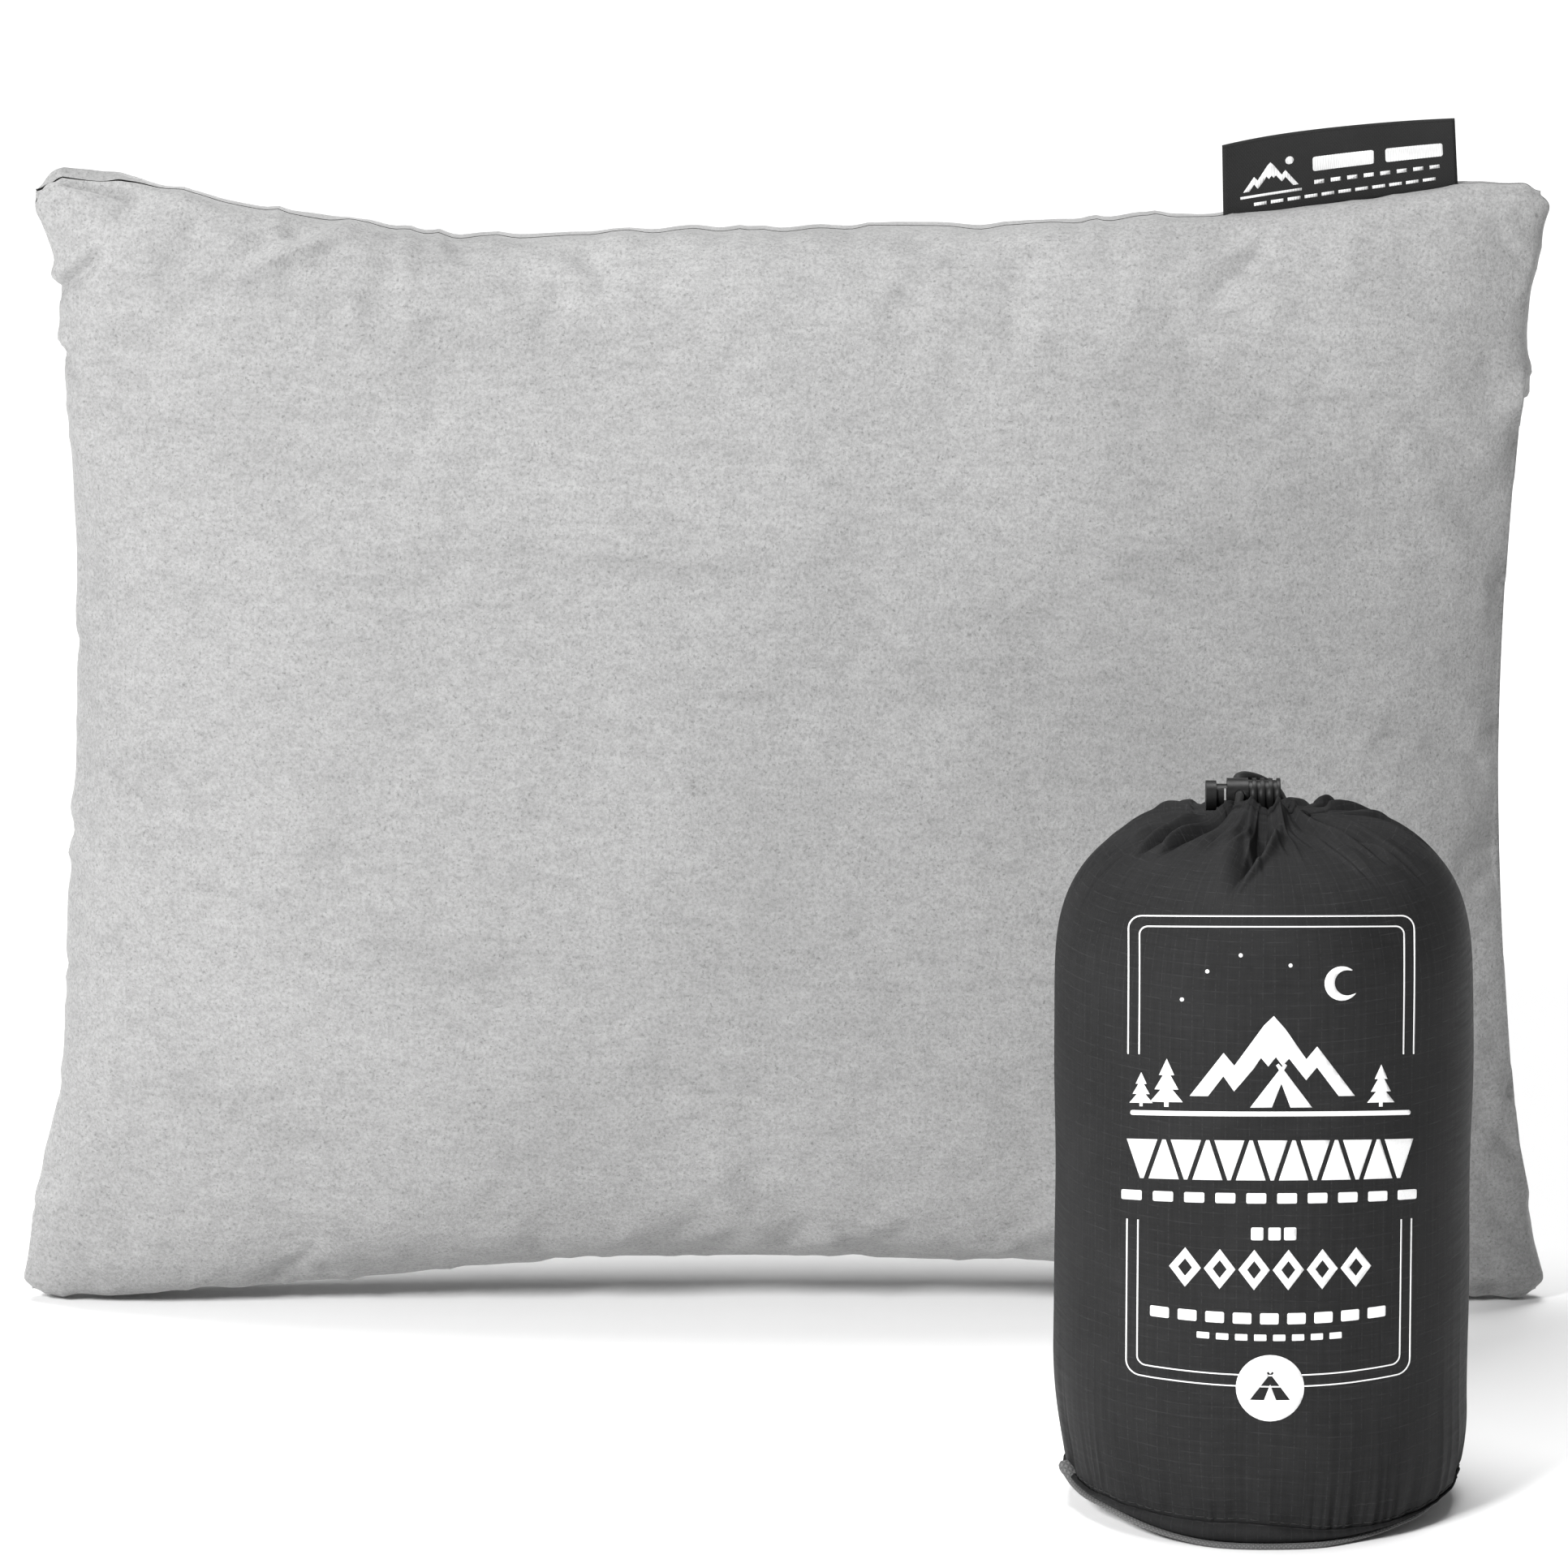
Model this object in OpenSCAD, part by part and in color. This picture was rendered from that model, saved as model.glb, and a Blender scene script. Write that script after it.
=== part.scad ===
// Camp pillow with its stuff sack, in millimetres.
// The pillow stands on its lower long edge, with its seam in a plane across Y.
// The sack stands in front of it, towards -Y. +X is to the right, +Z is up.
// The origin lies on the floor, at the centre of the footprint of the pair.

/* [Pillow] */
// Width from corner to corner
pillow_w = 400; // [300:5:500]
// Height from corner to corner
pillow_h = 300; // [240:5:380]
// Thickness at the middle
pillow_t = 104; // [70:2:130]
// How far the short sides pull in between the corners
side_pull = 13; // [4:1:20]
// How far the long edges pull in between the corners
edge_pull = 12; // [4:1:16]
// How blunt the crown is, smaller is fuller
crown = 0.42; // [0.35:0.01:0.6]
// Thickness of the microsuede
suede_t = 0.9; // [0.8:0.1:1.2]

/* [Label] */
// Width of the woven label
label_w = 62; // [30:1:70]
// Height that stands out of the seam
label_h = 19; // [12:1:25]
// Distance of its centre from the pillow's centre
label_x = 145; // [60:1:150]

/* [Zipper] */
// Length of the zipper between its stops
zip_len = 182; // [120:2:200]
// Height of its middle above the floor
zip_mid = 150; // [140:1:160]
// Distance of the tape's outer face from the pillow's centre
zip_x = 182; // [180:0.5:183]

/* [Stuff sack] */
// Diameter of the filled sack
sack_d = 103; // [80:1:120]
// Height of the filled sack's dome
sack_h = 171.8; // [150:0.2:180]
// Distance between the pillow's seam and the sack's axis
standoff = 186; // [150:1:200]
// Distance of the sack's axis from the pillow's centre
sack_x = 118.3; // [0:0.1:130]
// Thickness of the sack's cloth
cloth_t = 0.8; // [0.6:0.1:1.0]

/* [Cord lock] */
// Diameter of the drawcord
cord_d = 2; // [1.6:0.1:2]
// Diameter of the barrel
barrel_d = 8.6; // [8.4:0.1:8.8]
// Travel of the button
button_travel = 2.5; // [1.5:0.1:2.5]

/* [Hidden] */
$fn = 64;

big = 1000;

// The seam's plane and the sack's axis, set so that the pair's footprint is centred
sack_r = sack_d / 2;
seam_y = (standoff + sack_r - pillow_t / 2) / 2;
sack_y = seam_y - standoff;

// Layers of the pillow, as insets from its outer face
gap = 0.1;
liner_in = suede_t + gap;
liner_t = 0.7;
foam_in = liner_in + liner_t + 0.2;
lip = 0.6;
corner_sink = 5;
cells_u = 24;
cells_v = 18;

// Zipper
pocket_half = 9;
pocket_depth = 3.6;
tape_t = 0.8;
coil_r = 1.1;
coil_gap = 0.4;
stop_h = 2;
plate_t = 0.9;
slider_len = 9;
slider_half = 3.7;
slider_z = zip_mid + zip_len / 2 - stop_h - 0.3 - slider_len;
zip_low = zip_mid - zip_len / 2;
zip_tail = 15;
zip_head = 3;
plate_x = zip_x + 2 * coil_r + 0.4;
bar_x = plate_x + plate_t + 1.5;
bar_z = slider_z + slider_len / 2;
bar_r = 0.55;
eye_r = 0.62;
pull_len = 16;

// Sack
foot_h = 5;
foot_r = 47.6;
shoulder_z = 128;
dome_power = 3;
mouth_r = 11;
hem_low = 166.4;
bundle_top = 163.4;

// Cord lock: its place from the sack's axis, and its barrel along X
lock_y = sack_y + 5;
lock_z = 177;
barrel_from = -9.5;
barrel_to = 3.6;
bore_to = 2;
stem_r = 2.9;
stem_to = -1.6;
head_r = 3.7;
head_from = -14.7;
hole_x = -6.5;
hole_half = 1.15;
strand = 1.02;

// ---- Pillow ----

function spaced(k, n) = sin(90 * (2 * k / n - 1));
function fullness(u, v) = pow((1 - u * u) * (1 - v * v), crown);
function across(u, v, inset) = u * (pillow_w / 2 - inset - side_pull * (1 - v * v));
function upward(u, v, inset) = (pillow_h - corner_sink) / 2
    + v * ((pillow_h + corner_sink) / 2 - inset - edge_pull * (1 - u * u));
function depth(u, v, inset) = lip + (pillow_t / 2 - lip - inset) * fullness(u, v);

function sheet(side, inset) = [
    for (j = [0:cells_v]) for (i = [0:cells_u])
        let (u = spaced(i, cells_u), v = spaced(j, cells_v))
        [across(u, v, inset), seam_y + side * depth(u, v, inset), upward(u, v, inset)]
];

row = cells_u + 1;
layer = row * (cells_v + 1);
function at(i, j) = i + j * row;
function rim(i0, j0, i1, j1) = [
    [at(i0, j0), at(i1, j1), layer + at(i1, j1)],
    [at(i0, j0), layer + at(i1, j1), layer + at(i0, j0)]
];

// The closed form of the pillow, drawn in by an inset on every side
module crowned(inset) {
    front = [for (j = [0:cells_v - 1]) for (i = [0:cells_u - 1])
        each [[at(i, j), at(i, j + 1), at(i + 1, j + 1)], [at(i, j), at(i + 1, j + 1), at(i + 1, j)]]];
    back = [for (f = front) [layer + f[2], layer + f[1], layer + f[0]]];
    edges = concat(
        [for (i = [0:cells_u - 1]) each rim(i, 0, i + 1, 0)],
        [for (i = [0:cells_u - 1]) each rim(i + 1, cells_v, i, cells_v)],
        [for (j = [0:cells_v - 1]) each rim(0, j + 1, 0, j)],
        [for (j = [0:cells_v - 1]) each rim(cells_u, j, cells_u, j + 1)]
    );
    intersection() {
        polyhedron(concat(sheet(-1, inset), sheet(1, inset)), concat(front, back, edges));
        translate([-big / 2, -big / 2, inset]) cube(big);
    }
}

// The slot in the right-hand seam that holds the zipper
module zip_pocket(wall) {
    translate([zip_x - pocket_depth - wall, seam_y - pocket_half - wall, zip_low - zip_tail - wall])
        cube([60, 2 * (pocket_half + wall), zip_tail + zip_len + zip_head + 2 * wall]);
}

module layer_form(inset) {
    difference() {
        crowned(inset);
        zip_pocket(inset);
    }
}

module panel_half(side) {
    difference() {
        layer_form(0);
        layer_form(suede_t);
        translate([-big / 2, side < 0 ? seam_y : seam_y - big, -big / 2]) cube(big);
    }
}

module front_panel() {
    color("#c6c6c6") panel_half(-1);
}

module back_panel() {
    color("#bcbcbc") panel_half(1);
}

module inner_liner() {
    color("#eeeeea") difference() {
        layer_form(liner_in);
        layer_form(liner_in + liner_t);
    }
}

module foam_fill() {
    color("#e8dfc4") layer_form(foam_in);
}

module woven_label() {
    seam_z = upward(2 * label_x / pillow_w, 1, 0);
    slope = atan(edge_pull * 4 * label_x / (pillow_w * pillow_w / 2));
    color("#161616") difference() {
        translate([label_x, seam_y, seam_z])
            rotate([0, -slope, 0])
            translate([-label_w / 2, -0.5, -2])
            cube([label_w, 1, label_h + 2]);
        crowned(0);
    }
}

// ---- Zipper, in the plane of the right-hand seam ----

module along_tape(side) {
    translate([0, seam_y, 0]) mirror([0, side > 0 ? 0 : 1, 0]) children();
}

module zip_tape(side) {
    along_tape(side)
        translate([zip_x - tape_t, coil_gap, zip_low - zip_tail + gap])
        cube([tape_t, pocket_half - coil_gap, zip_tail + zip_len + zip_head - 2 * gap]);
}

module zip_coil(side) {
    along_tape(side)
        translate([zip_x + coil_r, coil_gap + coil_r, zip_low])
        cylinder(r = coil_r, h = zip_len);
}

module zip_stop(z) {
    wide = 2 * (coil_gap + 2 * coil_r + 0.3);
    translate([zip_x, seam_y - wide / 2, z]) cube([2 * coil_r + 0.2, wide, stop_h]);
}

module zip_tape_front() {
    color("#8c8c8c") zip_tape(-1);
}

module zip_tape_back() {
    color("#8c8c8c") zip_tape(1);
}

module zip_coil_front() {
    color("#9a9a9a") zip_coil(-1);
}

module zip_coil_back() {
    color("#9a9a9a") zip_coil(1);
}

module zip_top_stop() {
    color("#707070") zip_stop(zip_low + zip_len);
}

module zip_bottom_stop() {
    color("#707070") zip_stop(zip_low - stop_h);
}

module zip_slider() {
    post_half = coil_gap - 0.15;
    flange_low = zip_x + 0.3;
    inner_plate_x = zip_x - tape_t - 0.4 - plate_t;
    color("#5c5c5c") union() {
        translate([plate_x, seam_y - slider_half, slider_z])
            cube([plate_t, 2 * slider_half, slider_len]);
        translate([inner_plate_x, seam_y - slider_half, slider_z])
            cube([plate_t, 2 * slider_half, slider_len]);
        translate([inner_plate_x, seam_y - post_half, slider_z + slider_len - 3])
            cube([plate_x - inner_plate_x + plate_t, 2 * post_half, 3]);
        for (side = [-1, 1])
            translate([flange_low, seam_y + side * (slider_half - 0.35) - 0.35, slider_z])
            cube([plate_x - flange_low, 0.7, slider_len]);
        for (side = [-1, 1])
            translate([plate_x + plate_t, seam_y + side * 2.1 - 0.5, bar_z - 1.5])
            cube([2.5, 1, 3]);
        translate([bar_x, seam_y + 2.1, bar_z])
            rotate([90, 0, 0])
            cylinder(r = bar_r, h = 4.2);
    }
}

module zip_pull() {
    eye_out = 1.25;
    color("#6a6a6a") difference() {
        union() {
            translate([bar_x, seam_y + 1.4, bar_z])
                rotate([90, 0, 0])
                cylinder(r = eye_out, h = 2.8);
            translate([bar_x - 0.5, seam_y - 1.4, bar_z - 5])
                cube([1, 2.8, 5]);
            translate([bar_x - 0.5, seam_y - 2.6, bar_z - pull_len])
                cube([1, 5.2, pull_len - 4]);
        }
        translate([bar_x, seam_y + 2, bar_z])
            rotate([90, 0, 0])
            cylinder(r = eye_r, h = 4);
        translate([bar_x - 1, seam_y, bar_z - pull_len + 3.4])
            rotate([0, 90, 0])
            cylinder(r = 1.4, h = 2);
    }
}

// ---- Stuff sack, about its own axis ----

module on_sack() {
    translate([sack_x, sack_y, 0]) children();
}

// Radius and height along the sack's side and dome, drawn in by an inset
function sack_side(inset) = concat(
    [for (k = [0:6]) let (a = 90 * k / 6)
        [foot_r - inset + (sack_r - foot_r) * sin(a), foot_h + 35 * (1 - cos(a))]],
    [for (k = [0:14]) let (a = 76 * k / 14)
        [(sack_r - inset) * pow(cos(a), 2 / dome_power),
         shoulder_z + (sack_h - inset - shoulder_z) * pow(sin(a), 2 / dome_power)]]
);

function reversed(list) = [for (k = [len(list) - 1:-1:0]) list[k]];
function outside_mouth(list, r) = [for (p = list) if (p[0] > r) p];

module sack_body() {
    outer = outside_mouth(sack_side(0), mouth_r + 2);
    inner = outside_mouth(sack_side(cloth_t), mouth_r + 2);
    outer_end = [[mouth_r, sack_h - 0.2]];
    inner_end = [[mouth_r, sack_h - 0.2 - cloth_t]];
    color("#2e2e30") on_sack()
        rotate_extrude()
        polygon(concat(outer, outer_end, inner_end, reversed(inner)));
}

module sack_base() {
    color("#2a2a2c") on_sack() cylinder(r = foot_r - 1.6, h = 1);
}

module base_binding() {
    color("#38383a") on_sack()
        rotate_extrude()
        polygon([
            [foot_r - 1.6, 0], [foot_r + 0.2, 0], [foot_r + 0.8, 0.8], [foot_r + 0.8, foot_h - 0.8],
            [foot_r + 0.2, foot_h], [foot_r - 1.6, foot_h]
        ]);
}

module side_seam_binding() {
    color("#242426") on_sack()
        rotate([0, 0, 130])
        rotate_extrude(angle = 5)
        translate([sack_r, foot_h + 35])
        square([0.6, shoulder_z - foot_h - 37]);
}

module mouth_hem() {
    color("#303032") on_sack()
        rotate_extrude()
        polygon([
            [0, hem_low], [mouth_r - 0.1, hem_low], [mouth_r - 0.1, sack_h - 1],
            [mouth_r - 0.9, sack_h], [mouth_r - 4, sack_h], [2.5, hem_low + 2], [0, hem_low + 2]
        ]);
}

module packed_bundle() {
    side = [for (p = sack_side(cloth_t + 0.3)) if (p[1] < bundle_top) p];
    color("#c9c9c6") on_sack()
        rotate_extrude()
        polygon(concat([[0, 1], [foot_r - 2, 1], [foot_r - 2, foot_h]], side, [[0, bundle_top]]));
}

// ---- Drawcord: each route is a list of points from the sack's axis ----

left_route = [
    [-8, -5.5, 168.4], [-8, -6.3, 171.4], [-7.6, -6, 174.4], [-7, -4.2, 177], [-6.6, -1.8, 178],
    [-6.5, 0.5, 178.02], [-6.5, 6, 178.02], [-6.5, 12, 178.02], [-6.5, 18, 178.02],
    [-5.8, 22, 178], [-3.8, 26, 177.4], [-0.5, 29.5, 175.8], [3, 33.5, 173], [5.5, 38.5, 169.2],
    [7, 43.5, 164], [7.8, 48, 157], [8.3, 51.5, 148], [8.6, 53.4, 137],
    [8.6, 54, 124], [8.6, 54, 112], [8.6, 54, 100], [8.4, 54, 88], [8, 54, 76], [7.6, 54, 66]
];
right_route = [
    [-3, -4.5, 168.4], [-3.4, -5.2, 170.6], [-4.4, -4.6, 173], [-5.6, -2.9, 175],
    [-6.4, -1, 175.9], [-6.5, 0.8, 175.98], [-6.5, 6, 175.98], [-6.5, 12, 175.98],
    [-6.5, 18, 175.98], [-6.2, 22.5, 175.6], [-5, 27.5, 174.6], [-2, 32.5, 172.4],
    [1.2, 37.5, 168.8], [3.4, 42.5, 163.8], [4.6, 47, 157], [5.2, 50.8, 148], [5.5, 53.2, 137],
    [5.6, 54, 123], [5.6, 54, 111], [5.6, 54, 99], [5.6, 54, 87], [5.8, 54, 76], [6, 54, 66]
];
knot_place = [6.8, 54.8, 63];

function unit(v) = v / norm(v);
function heading(p, k) = unit(p[min(k + 1, len(p) - 1)] - p[max(k - 1, 0)]);

// A round tube swept along a list of points
module swept(path, r, sides) {
    n = len(path);
    points = [for (k = [0:n - 1]) let (t = heading(path, k), a = unit(cross(t, [1, 0, 0])), b = cross(t, a))
        for (s = [0:sides - 1]) path[k] + r * (cos(360 * s / sides) * a + sin(360 * s / sides) * b)];
    walls = [for (k = [0:n - 2]) for (s = [0:sides - 1])
        let (s1 = (s + 1) % sides, low = k * sides, high = low + sides)
        each [[low + s, high + s, high + s1], [low + s, high + s1, low + s1]]];
    caps = [[for (s = [0:sides - 1]) s], [for (s = [sides - 1:-1:0]) (n - 1) * sides + s]];
    polyhedron(points, concat(walls, caps));
}

module drawcord_left() {
    color("#141414") on_sack() swept(left_route, cord_d / 2, 8);
}

module drawcord_right() {
    color("#141414") on_sack() swept(right_route, cord_d / 2, 8);
}

module cord_knot() {
    color("#141414") on_sack() translate(knot_place) union() {
        rotate_extrude() polygon([
            [0, -3], [1.6, -3], [2.8, -1.8], [3, 0], [2.8, 1.8], [1.6, 3], [0, 3]
        ]);
        for (side = [-1, 1])
            translate([1.2 * side, 0, -13 + side]) cylinder(d = cord_d, h = 12);
    }
}

// ---- Cord lock, its barrel along X ----

// Turns a shape that was drawn about Z so that Z points along +X at the lock
module on_lock() {
    translate([sack_x, lock_y, lock_z]) rotate([0, 90, 0]) children();
}

module cord_hole() {
    for (s = [-1, 1])
        translate([s * (strand + 0.03), big / 2, hole_x])
        rotate([90, 0, 0])
        cylinder(r = hole_half, h = big);
    translate([-strand, -big / 2, hole_x - hole_half]) cube([2 * strand, big, 2 * hole_half]);
}

module cord_lock_barrel() {
    color("#1c1c1c") on_lock() difference() {
        translate([0, 0, barrel_from]) cylinder(d = barrel_d, h = barrel_to - barrel_from);
        translate([0, 0, barrel_from - 1]) cylinder(r = stem_r + 0.05, h = bore_to - barrel_from + 1);
        for (k = [0:3])
            translate([0, 0, -4.3 + 2 * k])
            rotate_extrude()
            translate([barrel_d / 2 - 0.5, 0])
            square([1, 1]);
        cord_hole();
    }
}

module cord_lock_button() {
    slot_low = hole_x - hole_half - button_travel - 0.1;
    color("#222222") on_lock() difference() {
        union() {
            translate([0, 0, barrel_from - button_travel]) cylinder(r = stem_r, h = stem_to - barrel_from + button_travel);
            translate([0, 0, head_from]) cylinder(r = head_r, h = barrel_from - button_travel - 0.1 - head_from);
            translate([0, 0, head_from + 1]) cylinder(r = stem_r, h = 3);
        }
        translate([-strand - hole_half, -big / 2, slot_low])
            cube([2 * (strand + hole_half), big, hole_x + hole_half - slot_low]);
    }
}

module cord_lock_spring() {
    wire_r = 0.2;
    turns = 3.5;
    low = stem_to + wire_r + 0.03;
    high = bore_to - wire_r - 0.03;
    steps = 42;
    color("#b0b0b0") on_lock()
        helix([for (k = [0:steps]) let (a = 360 * turns * k / steps)
            [2.1 * cos(a), 2.1 * sin(a), low + (high - low) * k / steps]], wire_r, 6);
}

// A thin wire swept along a coil about Z
module helix(path, r, sides) {
    n = len(path);
    points = [for (k = [0:n - 1]) let (t = heading(path, k), b = unit(cross(t, [0, 0, 1])), a = cross(b, t))
        for (s = [0:sides - 1]) path[k] + r * (cos(360 * s / sides) * b + sin(360 * s / sides) * a)];
    walls = [for (k = [0:n - 2]) for (s = [0:sides - 1])
        let (s1 = (s + 1) % sides, low = k * sides, high = low + sides)
        each [[low + s, high + s, high + s1], [low + s, high + s1, low + s1]]];
    caps = [[for (s = [0:sides - 1]) s], [for (s = [sides - 1:-1:0]) (n - 1) * sides + s]];
    polyhedron(points, concat(walls, caps));
}

front_panel();
back_panel();
inner_liner();
foam_fill();
woven_label();
zip_tape_front();
zip_tape_back();
zip_coil_front();
zip_coil_back();
zip_top_stop();
zip_bottom_stop();
zip_slider();
zip_pull();
sack_body();
sack_base();
base_binding();
side_seam_binding();
mouth_hem();
packed_bundle();
drawcord_left();
drawcord_right();
cord_knot();
cord_lock_barrel();
cord_lock_button();
cord_lock_spring();
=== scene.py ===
"""A camp pillow and its drawcord stuff sack, dressed for rendering. All lengths are in metres."""

import math

import bmesh
import bpy
import numpy as np
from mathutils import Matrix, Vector, noise
from mathutils.bvhtree import BVHTree


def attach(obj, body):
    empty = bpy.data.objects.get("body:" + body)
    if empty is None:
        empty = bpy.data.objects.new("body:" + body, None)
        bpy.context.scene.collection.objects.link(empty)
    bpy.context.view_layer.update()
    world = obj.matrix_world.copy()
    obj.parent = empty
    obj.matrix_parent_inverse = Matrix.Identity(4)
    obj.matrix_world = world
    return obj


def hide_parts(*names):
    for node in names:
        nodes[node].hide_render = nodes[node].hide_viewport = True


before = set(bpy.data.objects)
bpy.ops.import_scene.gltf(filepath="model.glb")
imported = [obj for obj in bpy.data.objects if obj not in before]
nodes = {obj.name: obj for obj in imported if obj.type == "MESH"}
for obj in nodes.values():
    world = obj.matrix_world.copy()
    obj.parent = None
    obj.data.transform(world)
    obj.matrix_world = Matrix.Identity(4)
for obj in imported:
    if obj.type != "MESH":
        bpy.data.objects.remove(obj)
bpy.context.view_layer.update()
MM = 0.001

# ---- Places that part.scad sets ----

SEAM_Y = 0.09275
SACK_X = 0.1183
SACK_Y = -0.09325
SACK_R = 0.0515
SHOULDER_Z = 0.128
SACK_TOP = 0.1732
ZIP_X = 0.182
ZIP_LOW = 0.059
ZIP_LEN = 0.182
PILLOW_T = 0.104
HALF_X = 0.2
HALF_Z = 0.15
LABEL_X = 0.145

# ---- Measures of the cloth and its threads ----

CORD_D = 0.002
CLOTH_T = 0.0003
FILM_T = 0.00008
TAPE_TAIL = 0.0145
SLOT_HALF = 0.0112
LABEL_W = 0.061
LINE = 0.00033

# ---- Camera ----


def placed(name, data):
    """A new object in the scene."""
    obj = bpy.data.objects.new(name, data)
    bpy.context.scene.collection.objects.link(obj)
    return obj


camera_data = bpy.data.cameras.new("camera")
camera_data.lens = 250.7
camera_data.sensor_width = 36
camera = placed("camera", camera_data)
camera.location = (0, SEAM_Y - 2.8, 0.76)
camera.rotation_euler = (math.radians(90 - 12.49), 0, 0)
bpy.context.scene.camera = camera


# ---- Mesh helpers ----

def piece(name, points, faces, body, material, smooth=True, uv=None):
    """A new mesh piece that rides on a body. uv holds one (u, v) pair for each point."""
    mesh = bpy.data.meshes.new(name)
    mesh.from_pydata([tuple(p) for p in points], [], [tuple(f) for f in faces])
    mesh.materials.append(material)
    mesh.polygons.foreach_set("use_smooth", [smooth] * len(mesh.polygons))
    if uv is not None:
        layer = mesh.uv_layers.new(name="cloth")
        corners = np.zeros(len(mesh.loops), dtype=np.int32)
        mesh.loops.foreach_get("vertex_index", corners)
        layer.data.foreach_set("uv", np.asarray(uv, dtype=np.float32)[corners].ravel())
    mesh.update()
    obj = placed(name, mesh)
    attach(obj, body)
    return obj


def grid_faces(rows, columns, wrap=False, flip=False, start=0):
    """The quads of a grid of points that is stored row by row."""
    faces = []
    for j in range(rows - 1):
        for i in range(columns if wrap else columns - 1):
            n = (i + 1) % columns
            quad = (j * columns + i, j * columns + n, (j + 1) * columns + n, (j + 1) * columns + i)
            faces.append(tuple(start + k for k in (quad[::-1] if flip else quad)))
    return faces


def run_along(line):
    """The distance along a line at each of its points."""
    return np.concatenate([[0], np.cumsum(np.linalg.norm(np.diff(line, axis=0), axis=1))])


def thicken(obj, thickness, offset, name="thickness"):
    """Gives a sheet its thickness. offset is -1 for inwards, 0 for both ways and 1 for outwards."""
    solid = obj.modifiers.new(name, "SOLIDIFY")
    solid.thickness = thickness
    solid.offset = offset


def spaced_along(path, step):
    """Points at an even step on a smooth curve through a list of points."""
    path = np.asarray(path, dtype=float)
    ends = np.vstack([2 * path[0] - path[1], path, 2 * path[-1] - path[-2]])
    fine = []
    for k in range(1, len(ends) - 2):
        a, b, c, d = ends[k - 1:k + 3]
        t = np.linspace(0, 1, 24, endpoint=False)[:, None]
        fine.append(0.5 * (2 * b + (c - a) * t + (2 * a - 5 * b + 4 * c - d) * t ** 2
                           + (3 * b - a - 3 * c + d) * t ** 3))
    fine = np.vstack(fine + [path[-1:]])
    run = run_along(fine)
    at = np.linspace(0, run[-1], max(int(run[-1] / step), 4) + 1)
    return np.stack([np.interp(at, run, fine[:, k]) for k in range(3)], 1), run[-1]


def frames_along(line):
    """Two unit vectors across a line at each point, which turn as little as they can."""
    heading = np.gradient(line, axis=0)
    heading /= np.linalg.norm(heading, axis=1)[:, None]
    first = np.cross(heading[0], (0.3, 0.2, 1.0))
    across = [first / np.linalg.norm(first)]
    for h in heading[1:]:
        v = across[-1] - h * np.dot(across[-1], h)
        across.append(v / np.linalg.norm(v))
    across = np.array(across)
    return across, np.cross(heading, across)


def tube(line, radius, sides, relief=None):
    """Points and quads of a closed tube along a line. relief(angle, run) scales the radius."""
    a, b = frames_along(line)
    run = run_along(line)
    angle = np.linspace(0, 2 * np.pi, sides, endpoint=False)
    size = np.full((len(line), sides), float(radius))
    if relief is not None:
        size *= relief(angle[None, :], run[:, None])
    points = (line[:, None] + size[..., None] * (np.cos(angle)[None, :, None] * a[:, None]
                                                 + np.sin(angle)[None, :, None] * b[:, None]))
    points = np.vstack([points.reshape(-1, 3), line[:1], line[-1:]])
    faces = grid_faces(len(line), sides, wrap=True)
    last = (len(line) - 1) * sides
    faces += [((i + 1) % sides, i, len(points) - 2) for i in range(sides)]
    faces += [(last + i, last + (i + 1) % sides, len(points) - 1) for i in range(sides)]
    return points, faces


def braid(angle, run):
    """The relief of a round braid: strands that run both ways round and pass over each other."""
    turn = run / 0.0042 * 2 * np.pi
    one = np.abs(np.sin(4 * angle + 2 * turn))
    other = np.abs(np.sin(4 * angle - 2 * turn))
    return 0.95 + 0.09 * np.maximum(one, other) ** 2


def join_parts(parts):
    """One list of points and faces out of several."""
    points, faces = [], []
    for p, f in parts:
        start = sum(len(q) for q in points)
        faces += [tuple(start + k for k in face) for face in f]
        points.append(np.asarray(p))
    return np.vstack(points), faces


def stitches(name, line, outward, body, material, length=0.0024, gap=0.0008, radius=0.00022):
    """A row of thread stitches on a line, each one a bent capsule that dips into the cloth."""
    parts = []
    run = run_along(line)
    where = 0.5 * gap
    while where + length < run[-1]:
        at = where + length * np.linspace(0, 1, 7)
        p = np.stack([np.interp(at, run, line[:, k]) for k in range(3)], 1)
        o = np.stack([np.interp(at, run, outward[:, k]) for k in range(3)], 1)
        lift = radius * (1.3 * np.sin(np.pi * np.linspace(0, 1, 7)) - 0.5)
        parts.append(tube(p + o * lift[:, None], radius, 6))
        where += length + gap
    points, faces = join_parts(parts)
    return piece(name, points, faces, body, material)


def wander(x, step, seed):
    """A smooth random curve between -1 and 1 with a knot at every step."""
    knots = np.random.default_rng(seed).uniform(-1, 1, 1024)
    t = np.asarray(x) / step + 400
    i = np.floor(t).astype(int)
    f = t - i
    f = f * f * (3 - 2 * f)
    return knots[i % 1024] * (1 - f) + knots[(i + 1) % 1024] * f


def clouds(x, y, step, seed):
    """Smooth random patches between -1 and 1, about a step across."""
    table = np.random.default_rng(seed).uniform(-1, 1, (64, 64))
    s, t = np.asarray(x) / step + 30, np.asarray(y) / step + 30
    i, j = np.floor(s).astype(int), np.floor(t).astype(int)
    f, g = s - i, t - j
    f, g = f * f * (3 - 2 * f), g * g * (3 - 2 * g)
    low = table[i % 64, j % 64] * (1 - f) + table[(i + 1) % 64, j % 64] * f
    high = table[i % 64, (j + 1) % 64] * (1 - f) + table[(i + 1) % 64, (j + 1) % 64] * f
    return low * (1 - g) + high * g


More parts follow.
